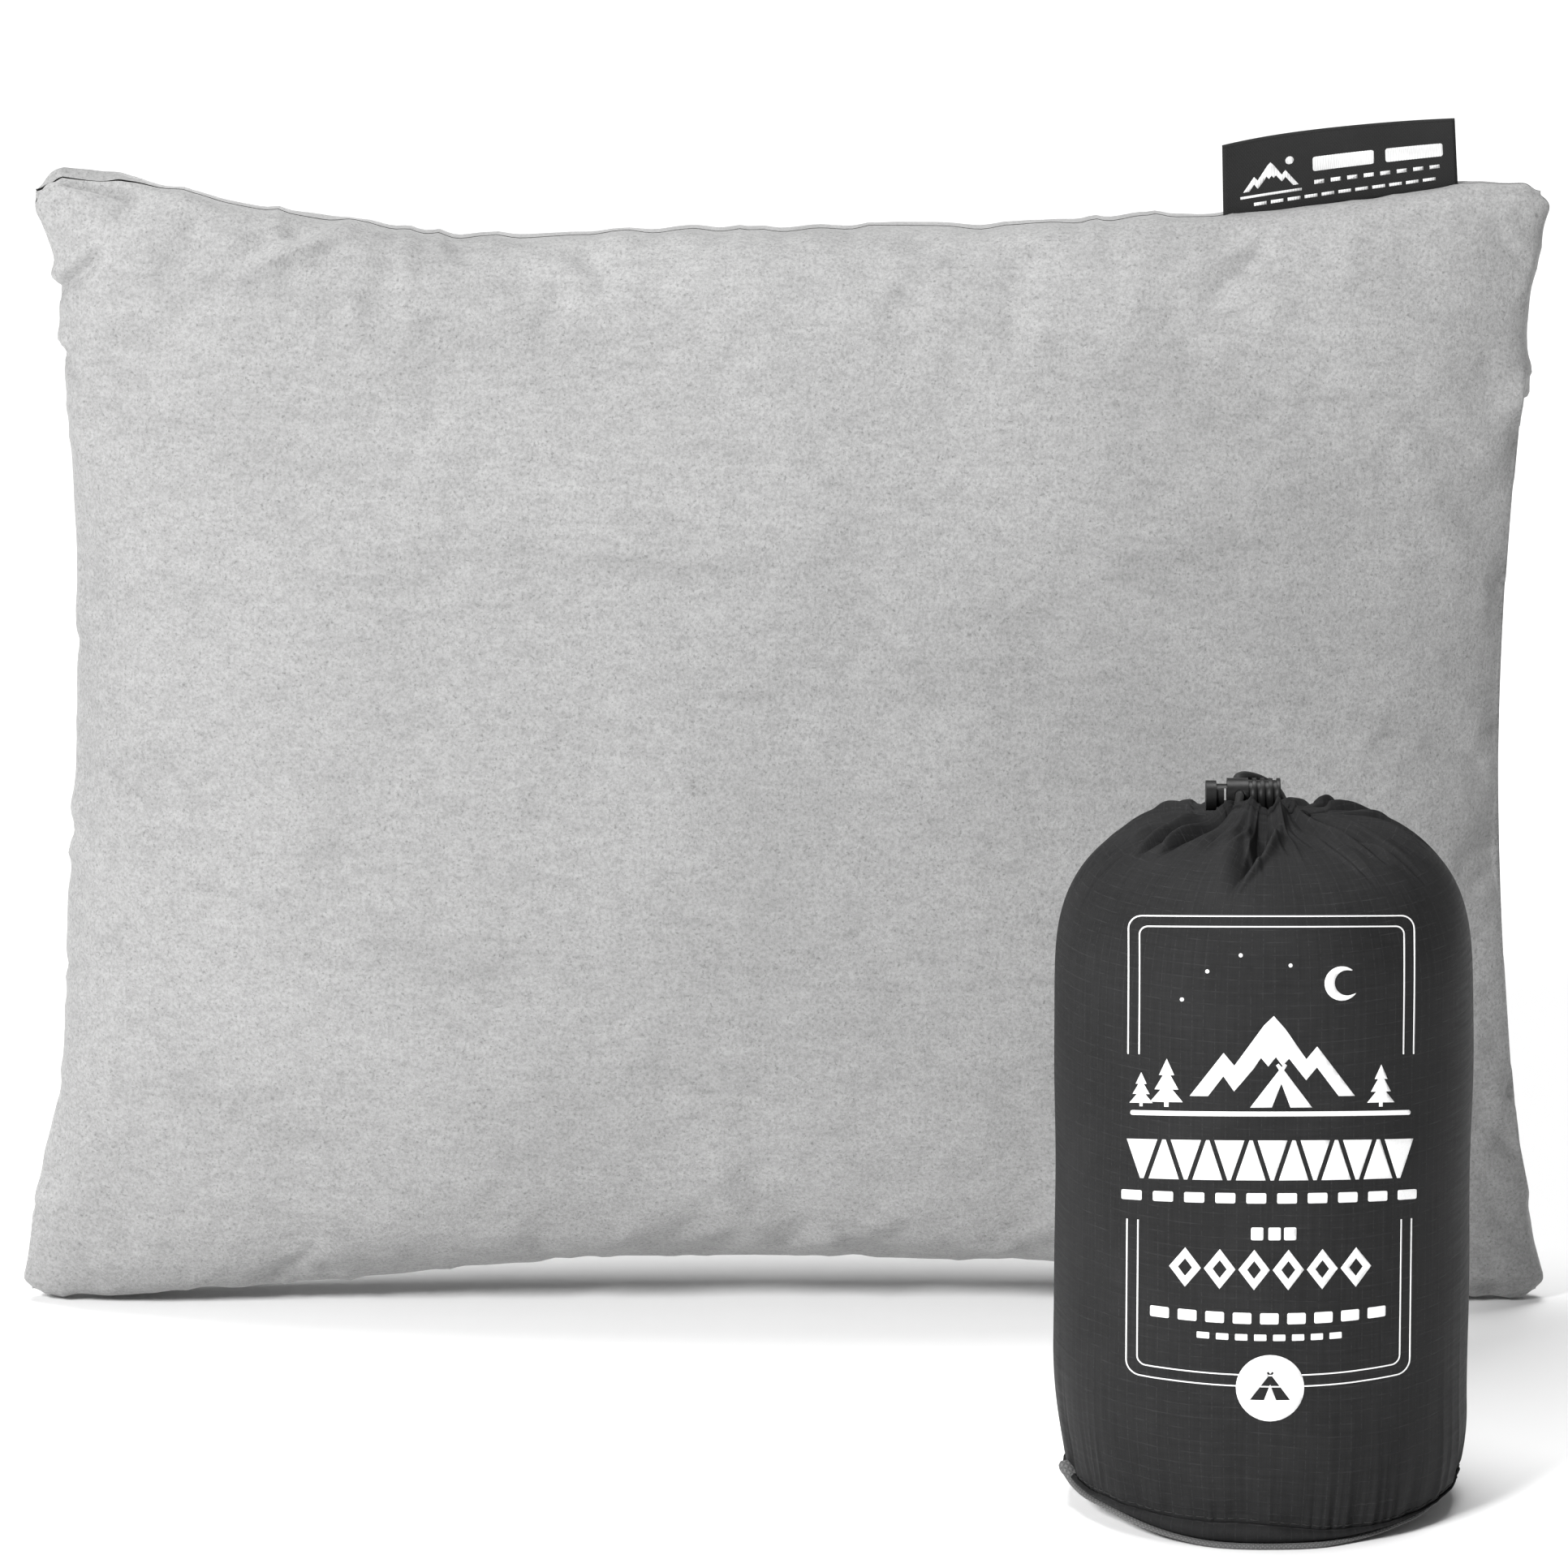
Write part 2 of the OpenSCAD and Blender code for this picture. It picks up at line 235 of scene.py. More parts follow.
def step_up(low, high, x):
    """0 below low, 1 above high and a smooth rise between."""
    t = np.clip((np.asarray(x, dtype=float) - low) / (high - low), 0, 1)
    return t * t * (3 - 2 * t)


# ---- Materials ----

class Finish:
    """A material and short ways to add nodes to it."""

    def __init__(self, name, roughness=0.6, **values):
        self.material = bpy.data.materials.new(name)
        self.material.use_nodes = True
        self.tree = self.material.node_tree
        self.shader = self.tree.nodes["Principled BSDF"]
        self.shader.inputs["Roughness"].default_value = roughness
        for key, value in values.items():
            self.shader.inputs[key.replace("_", " ")].default_value = value

    def add(self, kind, settings=None, **links):
        node = self.tree.nodes.new("ShaderNode" + kind)
        for key, value in (settings or {}).items():
            if hasattr(node, key):
                setattr(node, key, value)
            else:
                node.inputs[key].default_value = value
        for key, socket in links.items():
            self.tree.links.new(socket, node.inputs[key])
        return node

    def place(self, kind="Object", scale=(1, 1, 1)):
        coordinates = self.add("TexCoord")
        mapping = self.add("Mapping", {"Scale": scale}, Vector=coordinates.outputs[kind])
        return mapping.outputs[0]

    def noise(self, where, scale, detail=3, rough=0.55, warp=0):
        settings = {"Scale": scale, "Detail": detail, "Roughness": rough, "Distortion": warp}
        return self.add("TexNoise", settings, Vector=where).outputs["Fac"]

    def math(self, operation, a, b=None, c=None):
        node = self.add("Math", {"operation": operation})
        for k, value in enumerate((a, b, c)):
            if value is None:
                continue
            if isinstance(value, (int, float)):
                node.inputs[k].default_value = value
            else:
                self.tree.links.new(value, node.inputs[k])
        return node.outputs[0]

    def span(self, value, low, high, to_low=0, to_high=1):
        settings = {"From Min": low, "From Max": high, "To Min": to_low, "To Max": to_high}
        return self.add("MapRange", settings, Value=value).outputs[0]

    def ramp(self, value, *stops):
        node = self.add("ValToRGB", Fac=value)
        elements = node.color_ramp.elements
        while len(elements) < len(stops):
            elements.new(0.5)
        for element, (position, shade) in zip(elements, stops):
            element.position = position
            element.color = (*(shade if hasattr(shade, "__len__") else (shade,) * 3), 1)
        return node.outputs["Color"]

    def mix(self, blend, factor, a, b):
        node = self.tree.nodes.new("ShaderNodeMix")
        node.data_type = "RGBA"
        node.blend_type = blend
        for key, value in ((0, factor), (6, a), (7, b)):
            if isinstance(value, (int, float)):
                node.inputs[key].default_value = value
            elif isinstance(value, tuple):
                node.inputs[key].default_value = (*value, 1)
            else:
                self.tree.links.new(value, node.inputs[key])
        return node.outputs[2]

    def tint(self, tone, by):
        """A tone multiplied by another one."""
        return self.mix("MULTIPLY", 1.0, tone, by)

    def colour(self, socket):
        self.tree.links.new(socket, self.shader.inputs["Base Color"])

    def roughness(self, socket):
        self.tree.links.new(socket, self.shader.inputs["Roughness"])

    def bump(self, height, distance, strength=1.0, under=None):
        node = self.add("Bump", {"Distance": distance, "Strength": strength}, Height=height)
        if under is not None:
            self.tree.links.new(under, node.inputs["Normal"])
        self.tree.links.new(node.outputs[0], self.shader.inputs["Normal"])
        return node.outputs[0]


def suede(name, shade):
    """Brushed microsuede: cloudy nap, short brush strokes and fine dark specks."""
    f = Finish(name, 0.92, Sheen_Weight=0.25, Sheen_Roughness=0.45, Specular_IOR_Level=0.15)
    even = f.place()
    stroked = f.place(scale=(0.34, 1, 1.9))
    patches = f.noise(even, 14, 5, 0.6, 0.4)
    strokes = f.noise(stroked, 95, 4, 0.62, 0.6)
    marks = f.noise(stroked, 32, 3, 0.6, 1.2)
    mottle = f.noise(f.place(scale=(0.6, 1, 1.3)), 330, 3, 0.65)
    grain = f.noise(even, 1150, 2, 0.7)
    specks = f.noise(even, 1300, 1, 0.5)
    where = f.span(patches, 0.36, 0.66)
    tone = f.ramp(where, (0.0, 0.91), (0.5, 0.98), (1.0, 1.03))
    tone = f.tint(tone, f.ramp(strokes, (0.28, 0.95), (0.62, 1.015)))
    tone = f.tint(tone, f.ramp(mottle, (0.30, 0.90), (0.62, 1.03)))
    tone = f.tint(tone, f.ramp(marks, (0.30, 0.92), (0.42, 1.0)))
    tone = f.tint(tone, f.ramp(grain, (0.32, 0.80), (0.62, 1.08)))
    tone = f.tint(tone, f.ramp(specks, (0.26, 0.72), (0.38, 1.0)))
    f.colour(f.tint(tone, (shade, shade, shade * 0.997)))
    height = f.math("ADD", f.math("MULTIPLY", grain, 0.6), f.math("MULTIPLY", strokes, 0.5))
    f.bump(height, 0.0005, 0.7)
    f.roughness(f.span(patches, 0.3, 0.7, 0.86, 0.97))
    return f.material


def woven(name, shade, thread, rough=0.7, lift=0.00012, lighter=1.35, sheen=0.1, twill=False, kind="UV"):
    """Plain or twill weave in the cloth's own coordinates. thread is the distance between threads."""
    f = Finish(name, rough, Sheen_Weight=sheen, Specular_IOR_Level=0.3)
    where = f.place(kind, (1 / thread,) * 3)
    split = f.add("SeparateXYZ", Vector=where)
    x, y = split.outputs[0], split.outputs[1]
    if twill:
        x = f.math("ADD", x, f.math("MULTIPLY", f.math("PINGPONG", y, 8), 0.9))
    warp = f.math("SINE", f.math("MULTIPLY", x, math.pi))
    weft = f.math("SINE", f.math("MULTIPLY", y, math.pi))
    over = f.math("MULTIPLY", warp, weft)
    height = f.math("ADD", f.math("MULTIPLY", over, 0.5),
                    f.math("MAXIMUM", f.math("ABSOLUTE", warp), f.math("ABSOLUTE", weft)))
    wear = f.noise(f.place(), 60, 4)
    tone = f.ramp(f.span(height, 0.2, 1.5), (0.0, 0.6), (1.0, lighter))
    tone = f.tint(tone, f.ramp(wear, (0.35, 0.88), (0.65, 1.1)))
    f.colour(f.tint(tone, shade if isinstance(shade, tuple) else (shade,) * 3))
    f.bump(height, lift, 0.8)
    return f.material


def ripstop(name, shade):
    """Thin black nylon with a grid of heavier threads, a fine weave and a dull sheen."""
    f = Finish(name, 0.5, Specular_IOR_Level=0.07)
    cloth = f.place("UV")
    split = f.add("SeparateXYZ", Vector=cloth)
    lines = []
    for output, step in ((0, 0.0029), (1, 0.0031)):
        phase = f.math("PINGPONG", f.math("ADD", split.outputs[output], 5.0), step / 2)
        lines.append(f.math("LESS_THAN", phase, 0.00013))
    broken = f.noise(f.place("UV", (260, 1500, 1)), 1, 3, 0.6)
    grid = f.math("MULTIPLY", f.math("MAXIMUM", lines[0], lines[1]), f.span(broken, 0.42, 0.68))
    weave_x = f.math("SINE", f.math("MULTIPLY", split.outputs[0], 2 * math.pi / 0.00034))
    weave_y = f.math("SINE", f.math("MULTIPLY", split.outputs[1], 2 * math.pi / 0.00030))
    weave = f.math("MULTIPLY", weave_x, weave_y)
    slubs = f.noise(f.place("UV", (70, 900, 1)), 1, 4, 0.65)
    upright = f.noise(f.place("UV", (1100, 60, 1)), 1, 4, 0.65)
    dust = f.noise(f.place(), 35, 5)
    tone = f.ramp(dust, (0.3, 0.86), (0.7, 1.14))
    tone = f.tint(tone, f.ramp(slubs, (0.30, 0.86), (0.70, 1.16)))
    tone = f.tint(tone, f.ramp(upright, (0.30, 0.88), (0.70, 1.14)))
    tone = f.tint(tone, f.ramp(f.span(weave, -1, 1), (0.0, 0.84), (1.0, 1.16)))
    base = f.tint(tone, (shade, shade, shade * 1.02))
    f.colour(f.mix("ADD", f.math("MULTIPLY", grid, 0.5), base, (0.030, 0.030, 0.0305)))
    height = f.math("ADD", f.math("MULTIPLY", weave, 0.3), grid)
    height = f.math("ADD", height, f.math("MULTIPLY", f.math("ADD", slubs, upright), 0.9))
    f.bump(height, 0.00012, 0.7)
    f.roughness(f.span(slubs, 0.3, 0.7, 0.48, 0.64))
    return f.material


def moulded(name, shade, rough=0.42, metallic=0.0, scale=900.0, wear=0.06, shine=0.5):
    """Moulded plastic or enamelled metal: a fine pitted skin with faint rubbed spots."""
    f = Finish(name, rough, Metallic=metallic, Specular_IOR_Level=shine)
    where = f.place()
    fine = f.noise(where, scale, 4, 0.6)
    rub = f.noise(where, 110, 5, 0.65)
    tone = f.ramp(rub, (0.35, 1 - 2 * wear), (0.62, 1.0), (0.78, 1 + 6 * wear))
    f.colour(f.tint(tone, (shade, shade, shade)))
    f.roughness(f.span(rub, 0.3, 0.7, rough - 0.08, rough + 0.1))
    f.bump(fine, 0.00005, 0.5)
    return f.material


def foam_crumb(name):
    """Torn foam: cells in two shades of cream, with pits."""
    f = Finish(name, 0.9, Specular_IOR_Level=0.1)
    where = f.place()
    cells = f.add("TexVoronoi", {"Scale": 110.0}, Vector=where)
    tone = f.ramp(cells.outputs["Color"], (0.0, (0.55, 0.50, 0.38)), (1.0, (0.80, 0.76, 0.62)))
    f.colour(tone)
    f.bump(f.math("ADD", cells.outputs["Distance"], f.noise(where, 900, 3)), 0.002, 0.6)
    return f.material


def ink(name, shade=0.84):
    """Screen-printed ink: a thin smooth film that lets the weave through."""
    f = Finish(name, 0.55, Specular_IOR_Level=0.3)
    weave = f.noise(f.place(), 2600, 2, 0.6)
    worn = f.noise(f.place(), 240, 5, 0.7)
    tone = f.tint(f.ramp(weave, (0.3, 0.93), (0.6, 1.02)), f.ramp(worn, (0.24, 0.86), (0.36, 1.0)))
    f.colour(f.tint(tone, (shade, shade, shade)))
    f.bump(weave, 0.00008, 0.5)
    return f.material


def cord_yarn(name, shade):
    """Fine matte yarn for cords and threads."""
    f = Finish(name, 0.66, Sheen_Weight=0.05, Specular_IOR_Level=0.2)
    where = f.place()
    strands = f.noise(where, 2600, 3, 0.7)
    f.colour(f.tint(f.ramp(strands, (0.3, 0.6), (0.7, 1.6)), (shade, shade, shade)))
    f.bump(strands, 0.00012, 0.8)
    return f.material


SUEDE = suede("microsuede", 0.305)
LINER = woven("liner_cloth", 0.78, 0.0006, kind="Object")
FOAM = foam_crumb("foam_crumb")
LABEL = woven("label_weave", 0.006, 0.00035, 0.7, 0.00006, 1.6, 0.02)
LABEL_WHITE = woven("label_white", 0.72, 0.00035, 0.7, 0.00006, 1.15, 0.2, kind="Object")
TAPE = woven("zip_tape", 0.22, 0.0007, 0.85, 0.0002, twill=True, kind="Object")
COIL = moulded("coil_nylon", 0.22, 0.38, scale=500)
ENAMEL = moulded("enamel", 0.10, 0.33, 0.55)
RIPSTOP = ripstop("ripstop", 0.018)
BASE_CLOTH = ripstop("ripstop_base", 0.015)
BINDING = woven("binding_tape", 0.10, 0.0006, 0.85, 0.00015, 1.5)
INK = ink("print_ink")
CORD = cord_yarn("cord_yarn", 0.007)
PLASTIC = moulded("lock_plastic", 0.006, 0.40, shine=0.25)
STEEL = moulded("spring_steel", 0.55, 0.25, 1.0)
THREAD = cord_yarn("thread", 0.02)
GREY_THREAD = cord_yarn("grey_thread", 0.35)

# ---- Drawcord ----

LEFT_ROUTE = [
    (-8, -5.5, 168.4), (-8, -6.3, 171.4), (-7.6, -6, 174.4), (-7, -4.2, 177), (-6.6, -1.8, 178),
    (-6.5, 0.5, 178.02), (-6.5, 6, 178.02), (-6.5, 12, 178.02), (-6.5, 18, 178.02), (-5.8, 22, 178),
    (-3.8, 26, 177.4), (-0.5, 29.5, 175.8), (3, 33.5, 173), (5.5, 38.5, 169.2), (7, 43.5, 164),
    (7.8, 48, 157), (8.3, 51.5, 148), (8.6, 53.4, 137), (8.6, 54, 124), (8.6, 54, 112), (8.6, 54, 100),
    (8.4, 54, 88), (8, 54, 76), (7.6, 54, 66),
]
RIGHT_ROUTE = [
    (-3, -4.5, 168.4), (-3.4, -5.2, 170.6), (-4.4, -4.6, 173), (-5.6, -2.9, 175), (-6.4, -1, 175.9),
    (-6.5, 0.8, 175.98), (-6.5, 6, 175.98), (-6.5, 12, 175.98), (-6.5, 18, 175.98), (-6.2, 22.5, 175.6),
    (-5, 27.5, 174.6), (-2, 32.5, 172.4), (1.2, 37.5, 168.8), (3.4, 42.5, 163.8), (4.6, 47, 157),
    (5.2, 50.8, 148), (5.5, 53.2, 137), (5.6, 54, 123), (5.6, 54, 111), (5.6, 54, 99), (5.6, 54, 87),
    (5.8, 54, 76), (6, 54, 66),
]
KNOT = Vector((SACK_X + 0.0068, SACK_Y + 0.0548, 0.063))


def on_sack(route):
    """A route in mm from the sack's axis, in the shared frame."""
    return np.array(route) * MM + np.array((SACK_X, SACK_Y, 0))


def knot_piece():
    """An overhand knot on both cords, with their two cut ends below it."""
    turn = np.linspace(0, 2 * np.pi, 90, endpoint=False)
    loop = np.stack([
        (np.sin(turn) + 2 * np.sin(2 * turn)) * 0.00075,
        -np.sin(3 * turn) * 0.0009,
        (np.cos(turn) - 2 * np.cos(2 * turn)) * 0.00085,
    ], 1)
    loop = np.vstack([loop, loop[:1]]) + np.array(KNOT)
    parts = [tube(loop, 0.00085, 12, braid)]
    for side, low in ((-1, -0.0138), (1, -0.0122)):
        tail = np.array([(0.001 * side, 0, -0.001), (0.0012 * side, 0, -0.005),
                         (0.0016 * side, 0.0003, -0.009), (0.0019 * side, 0.0002, low)]) + np.array(KNOT)
        line, _ = spaced_along(tail, 0.0003)
        parts.append(tube(line, CORD_D / 2, 16, braid))
    points, faces = join_parts(parts)
    knot = piece("knot", points, faces, "sack", CORD)
    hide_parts("cord_knot")
    return knot


knot = knot_piece()
for node, route, pieces in (("drawcord_left", LEFT_ROUTE, [knot]), ("drawcord_right", RIGHT_ROUTE, [])):
    line, length = spaced_along(on_sack(route), 0.00022)
    points, faces = tube(line, CORD_D / 2, 20, braid)
    cord = piece(node + "_braid", points, faces, "sack", CORD)
    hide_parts(node)
    path, _ = spaced_along(on_sack(route), 0.004)

# ---- Pillow ----

COARSE_U, COARSE_V = 100, 76


def bend(x, knots):
    """Straight runs through a few (place, value) pairs."""
    places, values = zip(*knots)
    return np.interp(x, places, values)


def bottom_edge(u):
    """The height of the cover's lower seam. u runs from -1 at the left to 1 at the right."""
    lift = -0.005 + 0.0175 * (1 - u * u)
    return 0.5 * (lift + np.sqrt(lift * lift + 0.0015 ** 2))


def top_edge(u):
    """The height of the cover's upper seam."""
    dips = bend(u, ((-1, 0.5), (-0.95, 4), (-0.8, 3), (-0.68, 0.4), (-0.43, -3.6), (-0.24, -2), (-0.1, 0.6),
                    (0.3, 0.5), (0.46, 1.4), (0.57, -0.3), (0.72, 2), (0.87, 3.6), (0.95, 1), (1, -0.5)))
    return 0.3 - 0.012 * (1 - u * u) + dips * MM


def base_surface(side, u, v, inset=0.0):
    """The smooth closed form of the filled cover, one face at a time."""
    left = bend(v, ((-1, 3.6), (-0.8, 3.1), (-0.65, 0.8), (-0.2, 0.9), (0.1, -1), (0.35, -3), (0.65, -4.2),
                    (0.86, -6), (0.94, -4), (1, -2.5)))
    right = bend(v, ((-1, 3.6), (-0.85, 3.0), (-0.7, 1.1), (-0.35, 0.9), (0, 0.4), (0.7, 0.3), (1, 0)))
    low, high = bottom_edge(u), top_edge(u)
    tip = step_up(0.955, 1, np.abs(u)) * step_up(0.955, 1, np.abs(v))
    reach = HALF_X - 0.013 * (1 - v * v) - inset + np.where(u < 0, left, right) * MM - 0.0035 * tip
    x = u * reach
    z = (low + high) / 2 + v * ((high - low) / 2 - inset) - np.sign(v) * 0.002 * tip
    full = ((1 - u * u) * (1 - v * v)).clip(0)
    sag = 1 - 0.05 * v - 0.03 * v * v
    y = SEAM_Y + side * (0.0004 + (PILLOW_T / 2 - 0.0014 - inset) * full ** 0.42 * sag)
    return np.stack([x, y, z], -1)


def inflated(frames=26):
    """Cloth for the two faces, sewn at the seam and filled: returns how far each point moved."""
    us, vs = np.linspace(-1, 1, COARSE_U + 1), np.linspace(-1, 1, COARSE_V + 1)
    u, v = np.meshgrid(us, vs)
    edge = (np.abs(u) == 1) | (np.abs(v) == 1)
    front = np.arange(u.size).reshape(u.shape)
    back = front.copy()
    inner = ~edge
    back[inner] = u.size + np.arange(inner.sum())
    us_all = np.concatenate([u.ravel(), u[inner]])
    vs_all = np.concatenate([v.ravel(), v[inner]])
    sides = np.concatenate([np.where(edge.ravel(), 0, -1), np.ones(inner.sum())])
    full = ((1 - us_all ** 2) * (1 - vs_all ** 2)).clip(0) ** 0.42
    start = np.stack([us_all * (HALF_X - 0.013 * (1 - vs_all ** 2)), sides * 0.052 * full,
                      HALF_Z + vs_all * (HALF_Z - 0.012 * (1 - us_all ** 2))], 1)
    rough = [noise.noise(Vector(p * 40)) + 0.6 * noise.noise(Vector(p * 90)) for p in start]
    start[:, 1] += 0.0012 * np.array(rough)
    cut_x, cut_z, tight = 0.203, 0.153, 0.006
    flat = np.stack([us_all * cut_x, sides * 0.0005, HALF_Z + vs_all * cut_z], 1)
    faces = []
    for index, flip in ((front, False), (back, True)):
        a, b, c, d = index[:-1, :-1], index[:-1, 1:], index[1:, 1:], index[1:, :-1]
        quads = np.stack([a, b, c, d], -1).reshape(-1, 4)
        faces += (quads[:, ::-1] if flip else quads).tolist()
    mesh = bpy.data.meshes.new("cloth")
    mesh.from_pydata(start.tolist(), [], faces)
    obj = placed("cloth", mesh)
    obj.shape_key_add(name="Basis")
    key = obj.shape_key_add(name="flat")
    key.data.foreach_set("co", flat.astype(np.float32).ravel())
    key.value = 0
    seam = obj.vertex_groups.new(name="seam")
    from_seam = np.minimum((1 - np.abs(us_all)) * cut_x, (1 - np.abs(vs_all)) * cut_z)
    for k in np.flatnonzero(from_seam < tight):
        seam.add([int(k)], float(1 - from_seam[k] / tight), "REPLACE")
    modifier = obj.modifiers.new("cloth", "CLOTH")
    cloth = modifier.settings
    cloth.quality = 5
    cloth.mass = 0.2
    cloth.tension_stiffness = cloth.compression_stiffness = 20
    cloth.shear_stiffness = 5
    cloth.bending_stiffness = 0.3
    cloth.tension_damping = cloth.compression_damping = cloth.shear_damping = 5
    cloth.bending_damping = 0.5
    cloth.air_damping = 2
    cloth.rest_shape_key = key
    cloth.vertex_group_shrink = "seam"
    cloth.shrink_max = 0.016
    cloth.use_pressure = True
    cloth.uniform_pressure_force = 0.8
    cloth.effector_weights.gravity = 0
    modifier.collision_settings.use_collision = False
    modifier.point_cache.frame_end = frames
    for number in range(1, frames + 1):
        bpy.context.scene.frame_set(number)
    evaluated = obj.evaluated_get(bpy.context.evaluated_depsgraph_get())
    moved = np.zeros(len(start) * 3)
    evaluated.data.vertices.foreach_get("co", moved)
    bpy.data.objects.remove(obj)
    bpy.context.scene.frame_set(1)
    moved = moved.reshape(-1, 3) - start
    return moved[front], moved[back]


def blurred(field, times):
    """A field on a grid after several small blurs."""
    for _ in range(times):
        for axis in (0, 1):
            ends = [(1, 1) if k == axis else (0, 0) for k in range(field.ndim)]
            wide = np.pad(field, ends, mode="edge")
            n = field.shape[axis]
            field = 0.25 * wide.take(range(n), axis) + 0.5 * field + 0.25 * wide.take(range(2, n + 2), axis)
    return field


def sampled(field, u, v):
    """A coarse field at other places, by cubic interpolation."""
    s, t = (u + 1) / 2 * COARSE_U, (v + 1) / 2 * COARSE_V
    i = np.clip(np.floor(s).astype(int), 0, COARSE_U - 1)
    j = np.clip(np.floor(t).astype(int), 0, COARSE_V - 1)
    f, g = s - i, t - j

    def weights(x):
        return (-0.5 * x + x ** 2 - 0.5 * x ** 3, 1 - 2.5 * x ** 2 + 1.5 * x ** 3,
                0.5 * x + 2 * x ** 2 - 1.5 * x ** 3, -0.5 * x ** 2 + 0.5 * x ** 3)

    total = 0
    for a, wa in enumerate(weights(f)):
        for b, wb in enumerate(weights(g)):
            part = field[np.clip(j + b - 1, 0, COARSE_V), np.clip(i + a - 1, 0, COARSE_U)]
            total = total + (wa * wb)[..., None] * part
    return total


WRINKLES = None
fronts, backs = inflated()
soft = [blurred(field, 10) for field in (fronts, backs)]
WRINKLES = [np.nan_to_num(field - low) for field, low in zip((fronts, backs), soft)]
both = (WRINKLES[0] + WRINKLES[1]) / 2
rim = np.zeros(both.shape[:2], dtype=bool)
rim[[0, -1]] = True
rim[:, [0, -1]] = True
for field in WRINKLES:
    field[rim] = both[rim]


def crease(x, z, start, end, width, deep):
    """A valley from start to end, in millimetres, with a soft ridge along its upper side."""
    (x0, z0), (x1, z1) = start, end
    along = np.array((x1 - x0, z1 - z0), dtype=float)
    size = np.hypot(*along)
    along /= size
    p, q = x / MM - x0, z / MM - z0
    t = (p * along[0] + q * along[1]) / size
    off = -p * along[1] + q * along[0]
    fade = step_up(-0.35, 0.2, t) * (1 - step_up(0.75, 1.35, t))
    valley = -np.exp(-(off / width) ** 2)
    ridge = 0.5 * np.exp(-((off - 2.1 * width) / (1.7 * width)) ** 2)
    return deep * MM * fade * (valley + ridge)


FRONT_CREASES = [
    # start and end as (x, z), width and depth, all in mm
    ((-192, 270), (-178, 281), 1.6, 2.9), ((-191, 259), (-184, 250), 1.2, 2.6),
    ((-190, 301.5), (-168, 297.5), 1.4, 2.6), ((-196, 294), (-190, 299), 1.3, 1.8),
    ((-184, 292), (-176, 288), 2.4, 1.0), ((-137, 280), (-114, 289), 2.0, -2.0),
    ((-190, 46), (-189, 24), 2.4, 1.1), ((-199, 26), (-194, 20), 1.5, 1.3),
    ((-193, 14), (-181, 7), 2.6, 1.2), ((-190, 22), (-180, 12), 2.2, 0.8),
    ((193, 249), (190, 243), 1.6, 1.8), ((186, 48), (193, 34), 2.4, 1.2),
    ((184, 34), (192, 20), 2.2, 1.0), ((178, 20), (190, 10), 2.4, 1.0),
    ((184, 288), (192, 278), 2.0, 0.8), ((-186, 130), (-178, 134), 2.0, 0.8),
    ((-188, 92), (-180, 96), 1.8, 0.9), ((-186, 180), (-178, 176), 2.2, 0.7),
    ((184, 196), (175, 200), 2.4, 0.7), ((186, 120), (178, 116), 2.2, 0.7),
    ((-60, 12), (-66, 24), 2.6, 0.7), ((20, 14), (16, 26), 2.8, 0.6),
    ((-120, 10), (-124, 20), 2.2, 0.8), ((60, 13), (66, 24), 2.6, 0.6),
]
BACK_CREASES = [
    ((-186, 284), (-168, 268), 2.6, 1.6), ((188, 284), (172, 270), 2.4, 1.4),
    ((-190, 22), (-172, 38), 2.6, 1.5), ((190, 20), (170, 36), 2.6, 1.5),
    ((-188, 160), (-172, 156), 2.2, 1.0), ((186, 272), (176, 250), 2.2, 0.9),
    ((-40, 284), (-44, 268), 2.6, 0.8), ((70, 286), (76, 270), 2.6, 0.8),
    ((30, 12), (24, 28), 2.8, 0.8), ((-100, 12), (-108, 26), 2.6, 0.8),
    ((-186, 100), (-172, 104), 2.2, 0.9), ((120, 10), (128, 24), 2.4, 0.8),
]


def puckers(x, z, u, v, seed):
    """Small waves that the seam gathers into the cloth, and soft lumps in the filling."""
    d_side, d_long = (1 - np.abs(u)) * 200, (1 - np.abs(v)) * 150
    height = np.zeros_like(x)
    for run, away, shift in ((z, d_side, 0), (x, d_long, 50)):
        end = np.where(u < 0, 3, 7) if shift == 0 else np.where(v < 0, 11, 17)
        for which in np.unique(end):
            wave = wander(run, 0.0085, seed + shift + int(which))
            size = 0.65 + 0.35 * wander(run, 0.03, seed + 90 + int(which))
            reach = 7 + 5 * wander(run, 0.025, seed + 40 + int(which))
            pull = np.exp(-np.abs(away) / reach)
            height += np.where(end == which, (0.35 - np.abs(wave)) * 1.5 * size * pull, 0)
    lumps = 0.9 * clouds(x, z, 0.05, seed + 5) + 0.4 * clouds(x, z, 0.022, seed + 6)
    middle = step_up(0, 30, np.minimum(d_side, d_long))
    return (height + lumps * (0.25 + 0.4 * middle)) * MM


